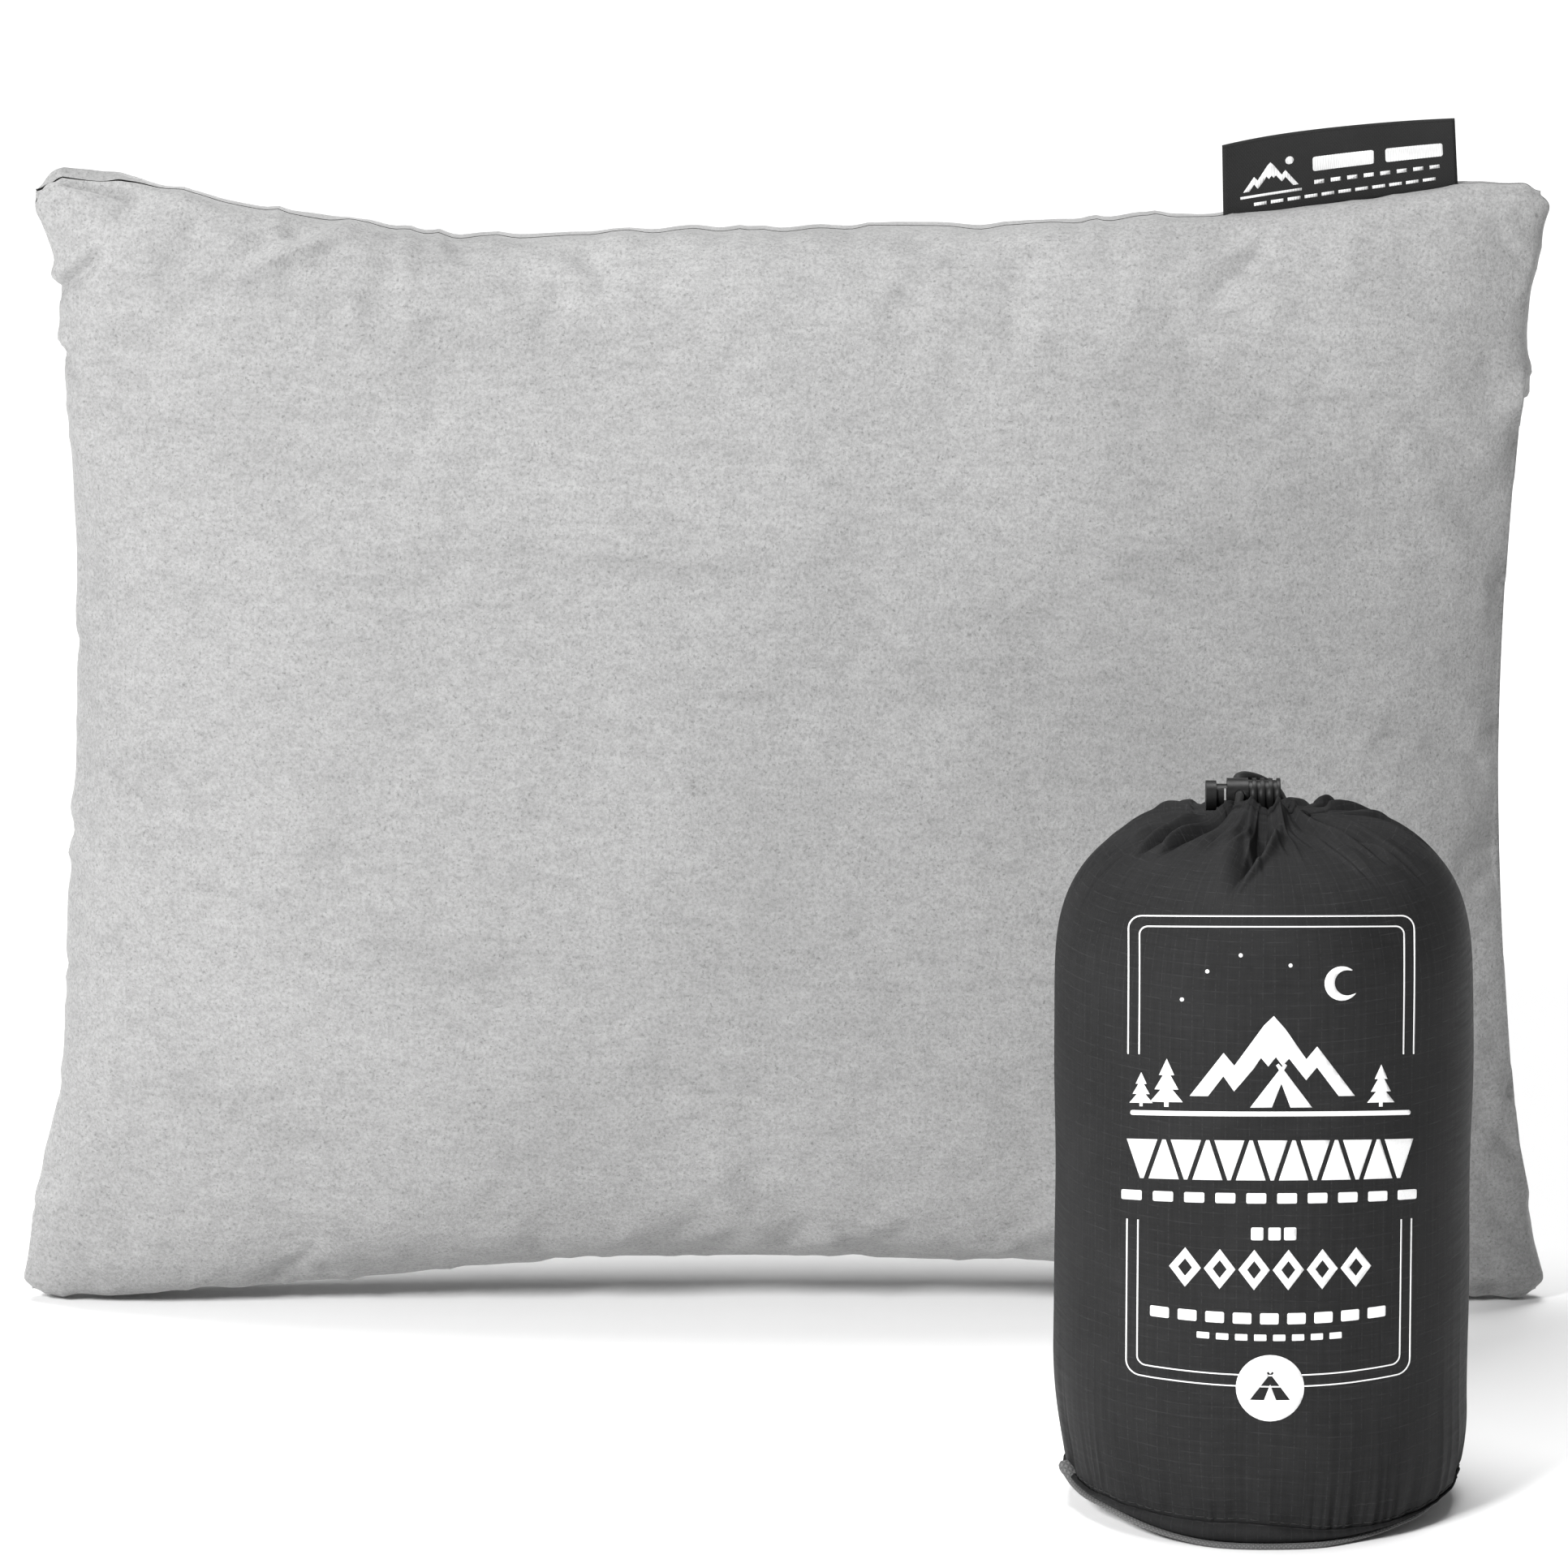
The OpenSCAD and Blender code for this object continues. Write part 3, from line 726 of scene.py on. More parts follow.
def slotted(points, v_z, depth, behind):
    """Rolls the right-hand seam in beside the zipper, where depth is the distance from the seam's plane.

    behind is how far the rolled-in edge ends behind the tapes' face.
    """
    x, y, z = points[..., 0], points[..., 1] - SEAM_Y, points[..., 2]
    low, high = ZIP_LOW - TAPE_TAIL, ZIP_LOW + ZIP_LEN + 0.0025
    full_here = step_up(low - 0.020, low + 0.001, z) * (1 - step_up(high - 0.001, high + 0.010, z))
    past = 1.6 * (behind - 0.0003)
    above = step_up(low + 0.0004 - past, low + 0.0055 - past, z)
    open_here = above * (1 - step_up(high - 0.0018 + past, high + 0.0010 + past, z))
    swell = step_up(0.026, SLOT_HALF, depth) * (v_z[..., 0] - v_z[..., 1]) * full_here
    swollen = np.minimum(x + swell, np.maximum(x, v_z[..., 0]))
    points[..., 0] = x = np.where(x > 0.1, swollen, x)
    t = np.clip((SLOT_HALF - depth) / (SLOT_HALF - 0.0004), 0, 1)
    roll = 0.0016
    edge_x = v_z[..., 0]
    deep = np.maximum(0.0042, edge_x - roll - ZIP_X + behind)
    run = t * (roll * np.pi / 2 + deep)
    turn = np.clip(run / roll, 0, np.pi / 2)
    in_y = SLOT_HALF - roll * np.sin(turn)
    in_x = edge_x - roll * (1 - np.cos(turn)) - np.clip(run - roll * np.pi / 2, 0, None)
    mask = (x > 0.1) & (t > 0)
    w = np.where(mask, open_here, 0)
    points[..., 0] = x * (1 - w) + in_x * w
    points[..., 1] = SEAM_Y + y * (1 - w) + np.sign(y) * in_y * w
    return points


def cover(side, columns, rows, inset=0.0, detail=True):
    """The points of one face of the filled cover, and their (u, v). detail adds its creases."""
    s, t = np.linspace(-1, 1, columns), np.linspace(-1, 1, rows)
    s = 0.35 * s + 0.65 * np.sin(s * np.pi / 2)
    t = 0.35 * t + 0.65 * np.sin(t * np.pi / 2)
    u, v = np.meshgrid(s, t)
    p = base_surface(side, u, v, inset)
    smooth_x, smooth_z = p[..., 0].copy(), p[..., 2].copy()
    depth = np.abs(p[..., 1] - SEAM_Y)
    across = np.gradient(p, axis=1)
    upward = np.gradient(p, axis=0)
    normal = np.cross(across, upward) * -side
    normal /= np.maximum(np.linalg.norm(normal, axis=-1), 1e-12)[..., None]
    rim = (np.abs(u) > 0.9999) | (np.abs(v) > 0.9999)
    normal[rim, 1] = 0
    out = np.stack([u ** 15, np.zeros_like(u), v ** 15], -1)
    out /= np.maximum(np.linalg.norm(out, axis=-1), 1e-6)[..., None]
    normal[rim] = out[rim]
    if WRINKLES is not None:
        move = sampled(WRINKLES[0 if side < 0 else 1], u, v)
        middle = step_up(0.02, 0.28, np.minimum(1 - np.abs(u), 1 - np.abs(v)))
        p = p + move * (0.85 - 0.35 * middle)[..., None]
    height = puckers(smooth_x, smooth_z, u, v, 7)
    if detail:
        shared = 0.5 * np.exp(-(depth / 0.003) ** 2)
        for creases, share in ((FRONT_CREASES, shared if side > 0 else 1 - shared),
                               (BACK_CREASES, shared if side < 0 else 1 - shared)):
            for start, end, width, deep in creases:
                height = height + share * crease(smooth_x, smooth_z, start, end, width, deep)
    bump = np.exp(-((smooth_z - 0.2475) / 0.0075) ** 2) * step_up(0.93, 1, u)
    height = height + 0.0032 * bump
    p = p + normal * height[..., None]
    corner = step_up(-0.80, -0.92, u) * step_up(0.9, 1, v)
    p[..., 2] += corner * (0.0022 * (side > 0) * np.exp(-((depth - 0.004) / 0.003) ** 2)
                           - 0.0014 * np.exp(-(depth / 0.0018) ** 2))
    groove = np.exp(-(depth / 0.0011) ** 2)
    p = p - out * (0.0005 * groove)[..., None]
    p[..., 2] = np.where(p[..., 2] < 0.0002, 0.0002, p[..., 2])
    half = columns // 2
    lip_x = np.array([np.interp(SLOT_HALF, depth[j, half:][::-1], smooth_x[j, half:][::-1])
                      for j in range(rows)])[:, None] + 0 * u
    seam_x = smooth_x[:, -1:] - 0.0006 + 0 * u
    return slotted(p, np.stack([seam_x, lip_x], -1), depth, 0.0003 + 0.8 * inset), np.stack([u, v], -1)


COLUMNS, ROWS = 260, 200
for name, node, side in (("cover_front", "front_panel", -1), ("cover_back", "back_panel", 1)):
    points, uv = cover(side, COLUMNS, ROWS)
    panel = piece(name, points.reshape(-1, 3), grid_faces(ROWS, COLUMNS, flip=side > 0), "pillow",
                  SUEDE, uv=(uv * (0.2, 0.15)).reshape(-1, 2))
    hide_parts(node)


def closed_form(name, node, inset, material):
    """A closed soft form inside the cover, inset from it."""
    columns, rows = 90, 70
    front, _ = cover(-1, columns, rows, inset, detail=False)
    back, _ = cover(1, columns, rows, inset, detail=False)
    faces = grid_faces(rows, columns) + grid_faces(rows, columns, flip=True, start=rows * columns)
    mesh_points = np.vstack([front.reshape(-1, 3), back.reshape(-1, 3)])
    obj = piece(name, mesh_points, faces, "pillow", material)
    work = bmesh.new()
    work.from_mesh(obj.data)
    rim_edges = [e for e in work.edges if e.is_boundary]
    bmesh.ops.bridge_loops(work, edges=rim_edges)
    work.to_mesh(obj.data)
    work.free()
    obj.data.polygons.foreach_set("use_smooth", [True] * len(obj.data.polygons))
    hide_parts(node)


closed_form("liner_bag", "inner_liner", 0.0045, LINER)
closed_form("crumb_fill", "foam_fill", 0.0060, FOAM)

# ---- Woven label ----


def label():
    """The label is a strip folded at its top, with both ends sewn into the seam."""
    columns = 63
    s = np.linspace(0, 1, columns)
    loop = []
    for k in np.linspace(0, 1, 9):
        loop.append((-0.00055, k * 0.97))
    for a in np.linspace(0.2, np.pi - 0.2, 5):
        loop.append((-0.00055 * np.cos(a), 0.97 + 0.03 * np.sin(a)))
    for k in np.linspace(1, 0, 9):
        loop.append((0.00055, k * 0.97))
    rows = []
    u = (LABEL_X + (s - 0.5) * 0.0618) / HALF_X
    low = top_edge(u) - 0.0035
    for y, k in loop:
        x = LABEL_X - 0.0005 + (s - 0.5) * (0.0608 - 0.0006 * k) - 0.0008 * k
        top = 0.3132 + (s - 0.5) * 0.0063 + 0.0009 * np.sin(np.pi * s) - 0.0007 * (1 - s) ** 6
        z = low + (top - low) * k
        bow = 0.0016 * np.sin(np.pi * (s * 1.1 - 0.1)) * k ** 1.5 + 0.0007 * np.sin(7 * s + 1) * k
        rows.append(np.stack([x, SEAM_Y + y - 0.0006 + bow, z], 1))
    grid = np.array(rows)
    v = np.linspace(0, 0.042, len(loop))[:, None] + 0 * s[None, :]
    uv = np.stack([0 * v + s[None, :] * LABEL_W, v], -1).reshape(-1, 2)
    obj = piece("label", grid.reshape(-1, 3), grid_faces(len(loop), columns), "pillow",
                LABEL, uv=uv)
    thicken(obj, CLOTH_T, 0)
    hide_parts("woven_label")
    return grid


label_grid = label()

# ---- Flat designs laid on a surface ----


def laid(name, shapes, hit, body, material, cell=0.0015, lift=0.00012, thick=FILM_T):
    """Flat outlines, cut into small cells and laid on a surface. hit(x, z) gives a point and a normal."""
    work = bmesh.new()
    for outline, holes in shapes:
        edges = []
        for ring in [outline] + holes:
            verts = [work.verts.new((a, b, 0)) for a, b in ring]
            edges += [work.edges.new((verts[k], verts[(k + 1) % len(verts)])) for k in range(len(verts))]
        bmesh.ops.triangle_fill(work, edges=edges, use_beauty=True, use_dissolve=False)
    for axis in (0, 1):
        values = [v.co[axis] for v in work.verts]
        place = math.floor(min(values) / cell) * cell + cell
        while place < max(values):
            at, direction = [0, 0, 0], [0, 0, 0]
            at[axis], direction[axis] = place, 1
            bmesh.ops.bisect_plane(work, geom=work.verts[:] + work.edges[:] + work.faces[:],
                                   plane_co=at, plane_no=direction, dist=1e-7)
            place += cell
    work.normal_update()
    points, lost = [], set()
    for v in work.verts:
        found = hit(v.co.x, v.co.y)
        if found is None:
            lost.add(v.index)
            points.append((0, 0, 0))
        else:
            points.append(tuple(found[0] + found[1] * lift))
    faces = []
    work.verts.index_update()
    for f in work.faces:
        index = [v.index for v in f.verts]
        if not lost.intersection(index):
            faces.append(index if f.normal.z < 0 else index[::-1])
    work.free()
    used = sorted({k for f in faces for k in f})
    renumber = {k: n for n, k in enumerate(used)}
    faces = [[renumber[k] for k in f] for f in faces]
    obj = piece(name, [points[k] for k in used], faces, body, material)
    thicken(obj, thick, 1, "film")


def bar(x0, z0, x1, z1, r=0.0):
    """A rectangle with rounded corners."""
    if r <= 0:
        return [(x0, z0), (x1, z0), (x1, z1), (x0, z1)]
    ring = []
    corners = ((x1 - r, z1 - r, 0), (x0 + r, z1 - r, 90), (x0 + r, z0 + r, 180), (x1 - r, z0 + r, 270))
    for cx, cz, first in corners:
        for k in range(7):
            a = math.radians(first + 15 * k)
            ring.append((cx + r * math.cos(a), cz + r * math.sin(a)))
    return ring


def row_of_bars(count, first, step, width, low, high, r=0.0):
    """Evenly spaced bars, each with no holes."""
    return [(bar(first + step * k, low, first + step * k + width, high, r), []) for k in range(count)]


def disc(x, z, r, steps=40):
    angles = [2 * math.pi * k / steps for k in range(steps)]
    return [(x + r * math.cos(a), z + r * math.sin(a)) for a in angles]


def scaled(shape, x, z, size):
    """An outline made size times as large and moved to (x, z)."""
    return [(x + a * size, z + b * size) for a, b in shape]


# Peaks and a moon: generic camping signs, drawn about (0, 0) and one unit wide
PEAKS = [(-0.50, 0.0), (-0.30, 0.27), (-0.235, 0.19), (-0.06, 0.44), (0.0, 0.50), (0.07, 0.42),
         (0.20, 0.23), (0.265, 0.31), (0.50, 0.0), (0.40, 0.0), (0.265, 0.18), (0.20, 0.10),
         (0.13, 0.19), (0.095, 0.235), (0.055, 0.19), (0.015, 0.245), (-0.03, 0.185), (-0.075, 0.24),
         (-0.12, 0.17), (-0.235, 0.03), (-0.30, 0.125), (-0.39, 0.0)]
MOON = [(0.5 * math.cos(a), 0.5 * math.sin(a)) for a in np.linspace(0.9, 2 * math.pi - 0.9 + 0.3, 26)]
MOON += [(0.16 + 0.37 * math.cos(a), 0.02 + 0.37 * math.sin(a))
         for a in np.linspace(2 * math.pi - 1.35, 1.25, 22)]


def pine(x, z, h):
    """A pine tree, h high, on (x, z)."""
    w = 0.36 * h
    ring = [(0, 1), (0.42, 0.66), (0.2, 0.66), (0.66, 0.36), (0.32, 0.36), (0.9, 0.1), (0.12, 0.1), (0.12, 0),
            (-0.12, 0), (-0.12, 0.1), (-0.9, 0.1), (-0.32, 0.36), (-0.66, 0.36), (-0.2, 0.66), (-0.42, 0.66)]
    return [(x + w * a, z + h * b) for a, b in ring]


def tent(x, z, w):
    """A ridge tent with an open door."""
    outer = [(-0.5, 0), (-0.04, 0.62), (-0.09, 0.70), (-0.05, 0.73), (0, 0.67), (0.05, 0.73), (0.09, 0.70),
             (0.04, 0.62), (0.5, 0)]
    door = [(-0.15, 0.0), (0.0, 0.40), (0.15, 0.0)]
    return [(x + w * a, z + w * b) for a, b in outer + door[::-1]]


# ---- Label motif ----


def on_label(x, z):
    """A place on the label from its lower left corner, along and above the seam."""
    n = label_grid.shape[1] - 1
    shown = 0.0225
    s, k = min(max(x / LABEL_W, 0), 1) * n, min(max(z / shown, 0), 1) * 8
    i, j = min(int(s), n - 1), min(int(k), 7)
    f, g = s - i, k - j
    p = (label_grid[j, i] * (1 - f) * (1 - g) + label_grid[j, i + 1] * f * (1 - g)
         + label_grid[j + 1, i] * (1 - f) * g + label_grid[j + 1, i + 1] * f * g)
    across = label_grid[j, i + 1] - label_grid[j, i]
    upward = label_grid[j + 1, i] - label_grid[j, i]
    normal = Vector(np.cross(across, upward)).normalized()
    if normal.y > 0:
        normal = -normal
    return Vector(p), normal


label_shapes = [(scaled(PEAKS, 0.0125, 0.0088, 0.0145), []), (disc(0.0175, 0.0158, 0.0011, 20), [])]
label_shapes += [(bar(0.0045, 0.0070, 0.0205, 0.0077), [])]
for left, right in ((0.0235, 0.0395), (0.0425, 0.0575)):
    label_shapes.append((bar(left, 0.0118, right, 0.0158, 0.0007), []))
label_shapes += row_of_bars(8, 0.0238, 0.0043, 0.0026, 0.0082, 0.0093)
label_shapes += row_of_bars(11, 0.0080, 0.0044, 0.0033, 0.0046, 0.0055)
laid("label_motif", label_shapes, on_label, "pillow", LABEL_WHITE, cell=0.003,
     lift=0.00018, thick=0.00006)

# ---- Zipper ----


def beveled(name, node, body, material, width, segments=3):
    """A copy of a CAD piece with its edges rounded."""
    mesh = nodes[node].data.copy()
    mesh.name = name
    work = bmesh.new()
    work.from_mesh(mesh)
    bmesh.ops.remove_doubles(work, verts=work.verts, dist=1e-6)
    bmesh.ops.dissolve_limit(work, angle_limit=math.radians(4), verts=work.verts, edges=work.edges)
    work.to_mesh(mesh)
    work.free()
    mesh.materials.clear()
    mesh.materials.append(material)
    obj = placed(name, mesh)
    rounding = obj.modifiers.new("rounding", "BEVEL")
    rounding.width = width
    rounding.segments = segments
    rounding.limit_method = "ANGLE"
    rounding.angle_limit = math.radians(30)
    rounding.use_clamp_overlap = True
    mesh.polygons.foreach_set("use_smooth", [True] * len(mesh.polygons))
    weighted = obj.modifiers.new("normals", "WEIGHTED_NORMAL")
    weighted.keep_sharp = True
    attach(obj, body)
    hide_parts(node)


def coil(side):
    """A nylon coil: a flattened helix with a bump on each turn where it hooks the other side."""
    turns = 118
    t = np.linspace(0, 1, turns * 14 + 1)
    a = 2 * np.pi * turns * t + (np.pi if side > 0 else 0)
    wide, high = 0.00098, 0.00086
    x = ZIP_X + 0.0011 + high * np.cos(a)
    y = SEAM_Y + side * (0.0015 + wide * np.sin(a))
    z = ZIP_LOW + 0.0004 + t * (ZIP_LEN - 0.0008)
    line = np.stack([x, y, z], 1)
    knob = 1 + 0.22 * np.maximum(0, -np.sin(a)) ** 6
    return tube(line, 0.00024, 7, lambda angle, run: knob[:, None] + 0 * angle)


def tape(side):
    """A zipper tape with a corded edge by the coil and a turned edge in the seam."""
    low, high = ZIP_LOW - TAPE_TAIL, ZIP_LOW + ZIP_LEN + 0.0027
    profile = [(0.0005, -0.0007), (0.0005, -0.0001), (0.0010, 0.0), (0.0020, -0.0001), (0.0030, -0.0003),
               (0.0045, -0.0003), (0.0060, -0.0003), (0.0075, -0.0002), (0.0088, -0.0002), (0.0089, -0.0007)]
    rows = []
    for z in np.linspace(low, high, 190):
        ripple = 0.00008 * math.sin(z * 2100) + 0.00012 * math.sin(z * 310 + side)
        rows.append([(ZIP_X + depth + ripple * min(y / 0.006, 1), SEAM_Y + side * y, z)
                     for y, depth in profile])
    return np.array(rows)


for side, tag in ((-1, "front"), (1, "back")):
    points, faces = coil(side)
    spiral = piece("coil_" + tag, points, faces, "pillow", COIL)
    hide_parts("zip_coil_" + tag)
    grid = tape(side)
    strip = piece("tape_" + tag, grid.reshape(-1, 3), grid_faces(len(grid), grid.shape[1], flip=side > 0),
                  "pillow", TAPE)
    thicken(strip, 0.0002, -1)
    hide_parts("zip_tape_" + tag)
    line = np.stack([np.full(160, ZIP_X + 0.00002), np.full(160, SEAM_Y + side * 0.0064),
                     np.linspace(ZIP_LOW - 0.013, ZIP_LOW + ZIP_LEN + 0.002, 160)], 1)
    stitches("tape_stitches_" + tag, line, np.tile((1.0, 0, 0), (160, 1)), "pillow", GREY_THREAD,
             0.0022, 0.0007, 0.00018)

for name, node, body, width in (("top_stop", "zip_top_stop", "pillow", 0.0005),
                                ("bottom_stop", "zip_bottom_stop", "pillow", 0.0005),
                                ("slider", "zip_slider", "slider", 0.00028),
                                ("pull_tab", "zip_pull", "pull", 0.0003)):
    beveled(name, node, body, ENAMEL, width)

# ---- Stuff sack ----

PLEATS = [
    # angle in degrees, width and depth in mm, radius where it starts in mm, which way it leans
    (-86, 1.3, 3.0, 47, 0.10), (-72, 0.9, 1.3, 46, -0.05), (-61, 1.1, 4.4, 37, -0.08),
    (-50, 1.2, 4.8, 34, -0.05), (-36, 0.8, 1.2, 31, 0.05), (-25, 0.9, 1.6, 27, 0.05),
    (-13, 1.4, 4.8, 42, 0.16), (-2, 0.9, 2.2, 36, -0.12), (10, 0.8, 1.3, 30, -0.06),
    (24, 0.8, 1.1, 27, -0.05), (36, 0.8, 1.6, 41, -0.10), (50, 1.0, 4.4, 36, -0.08),
    (58, 1.0, 3.8, 43, -0.14), (72, 1.1, 2.0, 41, -0.05), (85, 1.2, 2.2, 38, 0.06),
    (98, 1.1, 2.4, 42, 0.05), (111, 1.0, 2.0, 38, -0.05), (122, 1.3, 3.0, 44, 0.08),
    (139, 1.1, 2.2, 38, 0.05), (153, 1.2, 3.0, 45, -0.06), (168, 1.1, 2.0, 39, 0.06),
    (184, 1.3, 3.2, 43, 0.04), (199, 1.1, 2.2, 39, -0.08), (213, 1.2, 3.0, 45, 0.06),
    (229, 1.1, 2.4, 40, 0.04), (243, 1.2, 3.0, 44, -0.06), (258, 1.0, 2.2, 41, 0.05),
]


def wrapped(angle):
    """An angle brought between -pi and pi."""
    return (np.asarray(angle, float) + np.pi) % (2 * np.pi) - np.pi


def all_round(count):
    """Even angles round the sack that start at its back, so that the cloth's edges meet there."""
    return np.linspace(0, 2 * np.pi, count, endpoint=False) + np.pi


def around_sack(phi, r, z):
    """Points at angles phi from the sack's front, at radius r and height z."""
    return np.stack(np.broadcast_arrays(SACK_X + r * np.sin(phi), SACK_Y - r * np.cos(phi), z), -1)


def ring_uv(phi, along):
    """The cloth's own coordinates for rings of points at angles phi."""
    return np.stack(np.broadcast_arrays((phi - np.pi)[None, :] * SACK_R, along[:, None]), -1)


def base_lift(phi):
    """How far the bound edge stands off the floor. phi is the angle from the front, towards +X."""
    turned = wrapped(phi)
    left = step_up(math.radians(12), math.radians(75), -turned) * (1 - 0.6 * step_up(2.2, 3.0, -turned))
    right = step_up(math.radians(12), math.radians(98), turned) * (1 - step_up(2.4, 3.1, turned))
    return 0.0056 * left + 0.0058 * right + 0.0004 * wander(turned * SACK_R, 0.014, 57) * (left + right)


def edge_radius(phi):
    """How far the bound edge runs from the sack's axis."""
    return 0.0476 - 0.0010 * step_up(0.2, 1, np.sin(phi))


def seam_height(phi):
    """How high the sewn seam of the base lies."""
    turned = wrapped(phi)
    away = np.degrees(turned) + 9
    wide = np.where(away < 0, 30, 24)
    crescent = np.exp(-0.5 * (away / wide) ** 2) + 0.5 * np.exp(-0.5 * ((np.degrees(turned) - 150) / 30) ** 2)
    return 0.0021 + base_lift(phi) + 0.0040 * crescent + 0.0003 * wander(turned * SACK_R, 0.008, 61)


def sack_point(phi, k):
    """A point of the sack's cloth. k runs from 0 at the base seam to 1 at the shoulder and 2 at the mouth."""
    phi, k = np.broadcast_arrays(np.asarray(phi, float), np.asarray(k, float))
    low = seam_height(phi)
    side = np.clip(k, 0, 1)
    belly = 1 - np.clip(side / (0.26 - 0.12 * step_up(-0.2, 1, np.sin(phi))), 0, 1)
    z_side = low + (SHOULDER_Z - low) * side
    r_side = SACK_R - (0.0037 - 0.0008 * step_up(0.2, 1, np.sin(phi))) * belly ** 2
    a = np.clip(k - 1, 0, 1) * math.radians(83.5)
    r_dome = SACK_R * np.cos(a) ** (2 / 3)
    z_dome = SHOULDER_Z + (SACK_TOP - SHOULDER_Z) * np.sin(a) ** (2 / 3)
    upper = k > 1
    r = np.where(upper, r_dome, r_side)
    z = np.where(upper, z_dome, z_side)
    steep = np.where(upper, np.cos(a) ** 0.6, 1)
    fold = np.zeros_like(r)
    for angle, width, deep, start, lean in PLEATS:
        turn = lean * (0.040 - r) / 0.02
        away = wrapped(phi - math.radians(angle) - turn)
        across = away * np.maximum(r, 0.008) / MM
        grow = step_up(0, 1, (start * MM + 0.003 - r) / 0.015)
        size = width * (0.55 + 0.75 * grow)
        across = across if lean < 0 else -across
        slope = np.where(across < 0, 0.55, 1.5) * size
        valley = -np.exp(-(np.abs(across) / slope) ** 1.1)
        ridge = 0.55 * np.exp(-((across + 1.7 * size) / (0.8 * size)) ** 2)
        ridge += 0.30 * np.exp(-((across - 3.4 * size) / (1.8 * size)) ** 2)
        fold += deep * MM * grow * (valley + ridge)
    fold += (0.3 - np.abs(wander(phi * SACK_R, 0.0045, 71))) * step_up(0.040, 0.014, r) * 0.0011
    fold *= np.where(upper, 1, 0) * (0.6 + 0.4 * step_up(0.010, 0.026, r))
    drape = 0.0007 * wander(phi * SACK_R, 0.021, 31) * (0.5 + 0.5 * wander(z, 0.05, 33))
    drape += 0.0005 * clouds(phi * SACK_R, z, 0.028, 35)
    drape *= 1 - step_up(0.145, 0.168, z)
    reach = 0.0085 + 0.006 * wander(phi * SACK_R, 0.011, 45)
    gather = (0.45 - np.abs(wander(phi * SACK_R, 0.0026, 41)) ** 0.8) * np.exp(-((z - low) / reach)) * 0.0012
    gather += (0.4 - np.abs(wander(phi * SACK_R, 0.0061, 43))) * np.exp(-((z - low) / (1.5 * reach))) * 0.0015
    side_push = drape + gather * (0.35 + 0.65 * step_up(0.0, 0.003, z - low))
    outward = np.where(upper, np.cos(a) ** 1.3, 1.0)
    upward = np.where(upper, np.sin(a), 0.0)
    return around_sack(phi, r + side_push * steep + fold * outward, z + fold * upward)


phis = all_round(720)
levels = np.concatenate([np.linspace(0, 0.2, 60, endpoint=False), np.linspace(0.2, 1, 100, endpoint=False),
                         1 + np.linspace(0, 1, 140)])
sack_grid = sack_point(phis[None, :], levels[:, None])


def under_lock(grid):
    """Keeps the cloth below the cord lock, over the whole of the lock's slide. Changes the grid."""
    x, y, z = grid[..., 0] - SACK_X, grid[..., 1] - SACK_Y, grid[..., 2]
    limit = 0.1719 + 3.5 * np.maximum(0, -0.0012 - y)
    limit += 3 * np.maximum(0, np.abs(x + 0.001) - 0.0165) + 3 * np.maximum(0, y - 0.0200)
    soft = 0.0004
    grid[..., 2] = limit - soft * np.logaddexp(0, (limit - z) / soft)
    return grid


def front_fold(grid):
    """The gathered hem stands up in front of the cord lock and leans over it."""
    x, y, z = grid[..., 0] - SACK_X, grid[..., 1] - SACK_Y, grid[..., 2]
    turned = np.degrees(np.arctan2(x, -y))
    tall = 0.0068 * np.exp(-((turned + 4) / 42) ** 2) + 0.0042 * np.exp(-((turned + 68) / 26) ** 2)
    tall *= step_up(-88, -70, turned) * (1 - step_up(60, 90, turned))
    grid[..., 2] = z + tall * np.exp(-((np.hypot(x, y) - 0.0098) / 0.0046) ** 2)
    return under_lock(grid)


sack_grid = front_fold(sack_grid)
cloth_v = run_along(sack_grid[:, 0])
sack_uv = ring_uv(phis, cloth_v)


def seamed_grid(grid, uv, flip=False):
    """Closes a ring of columns with a doubled first column, so that the cloth's coordinates don't jump."""
    grid = np.concatenate([grid, grid[:, :1]], 1)
    last = uv[:, :1].copy()
    last[..., 0] = 2 * np.pi * SACK_R
    uv = np.concatenate([uv, last], 1)
    return grid.reshape(-1, 3), grid_faces(grid.shape[0], grid.shape[1], flip=flip), uv.reshape(-1, 2)


points, faces, uv = seamed_grid(sack_grid, sack_uv)
sack_cloth = piece("sack_cloth", points, faces, "sack", RIPSTOP, uv=uv)
thicken(sack_cloth, CLOTH_T, -1)
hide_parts("sack_body")
sack_tree = BVHTree.FromPolygons([tuple(p) for p in points], faces)


def hem():
    """The drawcord channel, pulled shut into a ring of upright folds with a dark pocket inside."""
    turns = 540
    phi = all_round(turns)
    rim = sack_point(phi, np.full(turns, 2.0))
    rim = front_fold(rim[None])[0]
    r0 = np.hypot(rim[:, 0] - SACK_X, rim[:, 1] - SACK_Y)
    z0 = rim[:, 2]
    waves = wander(phi, 0.16, 81) * 0.0014 + np.sin(15 * phi + 2 * wander(phi, 0.5, 82)) * 0.0011
    front = 0.5 + 0.5 * np.cos(phi)
    rings = [(0, 0), (-0.0007, 0.0009), (-0.0016, 0.0013), (-0.0026, 0.0009), (-0.0034, -0.0004),
             (-0.0042, -0.0024), (-0.0055, -0.0045), (-0.0075, -0.0055)]
    rows = []
    for n, (dr, dz) in enumerate(rings):
        part = n / (len(rings) - 1)
        r = r0 + dr * (r0 / 0.011) + waves * min(1, 2.4 * part) * (1 - 0.5 * part)
        lift = dz * (0.6 + 0.4 * front) - 0.0006 * (1 - front) * min(1, 2 * part)
        rows.append(around_sack(phi, r, z0 + lift))
    grid = under_lock(np.array(rows))
    return seamed_grid(grid, ring_uv(phi, np.linspace(0, 0.018, len(rows))))


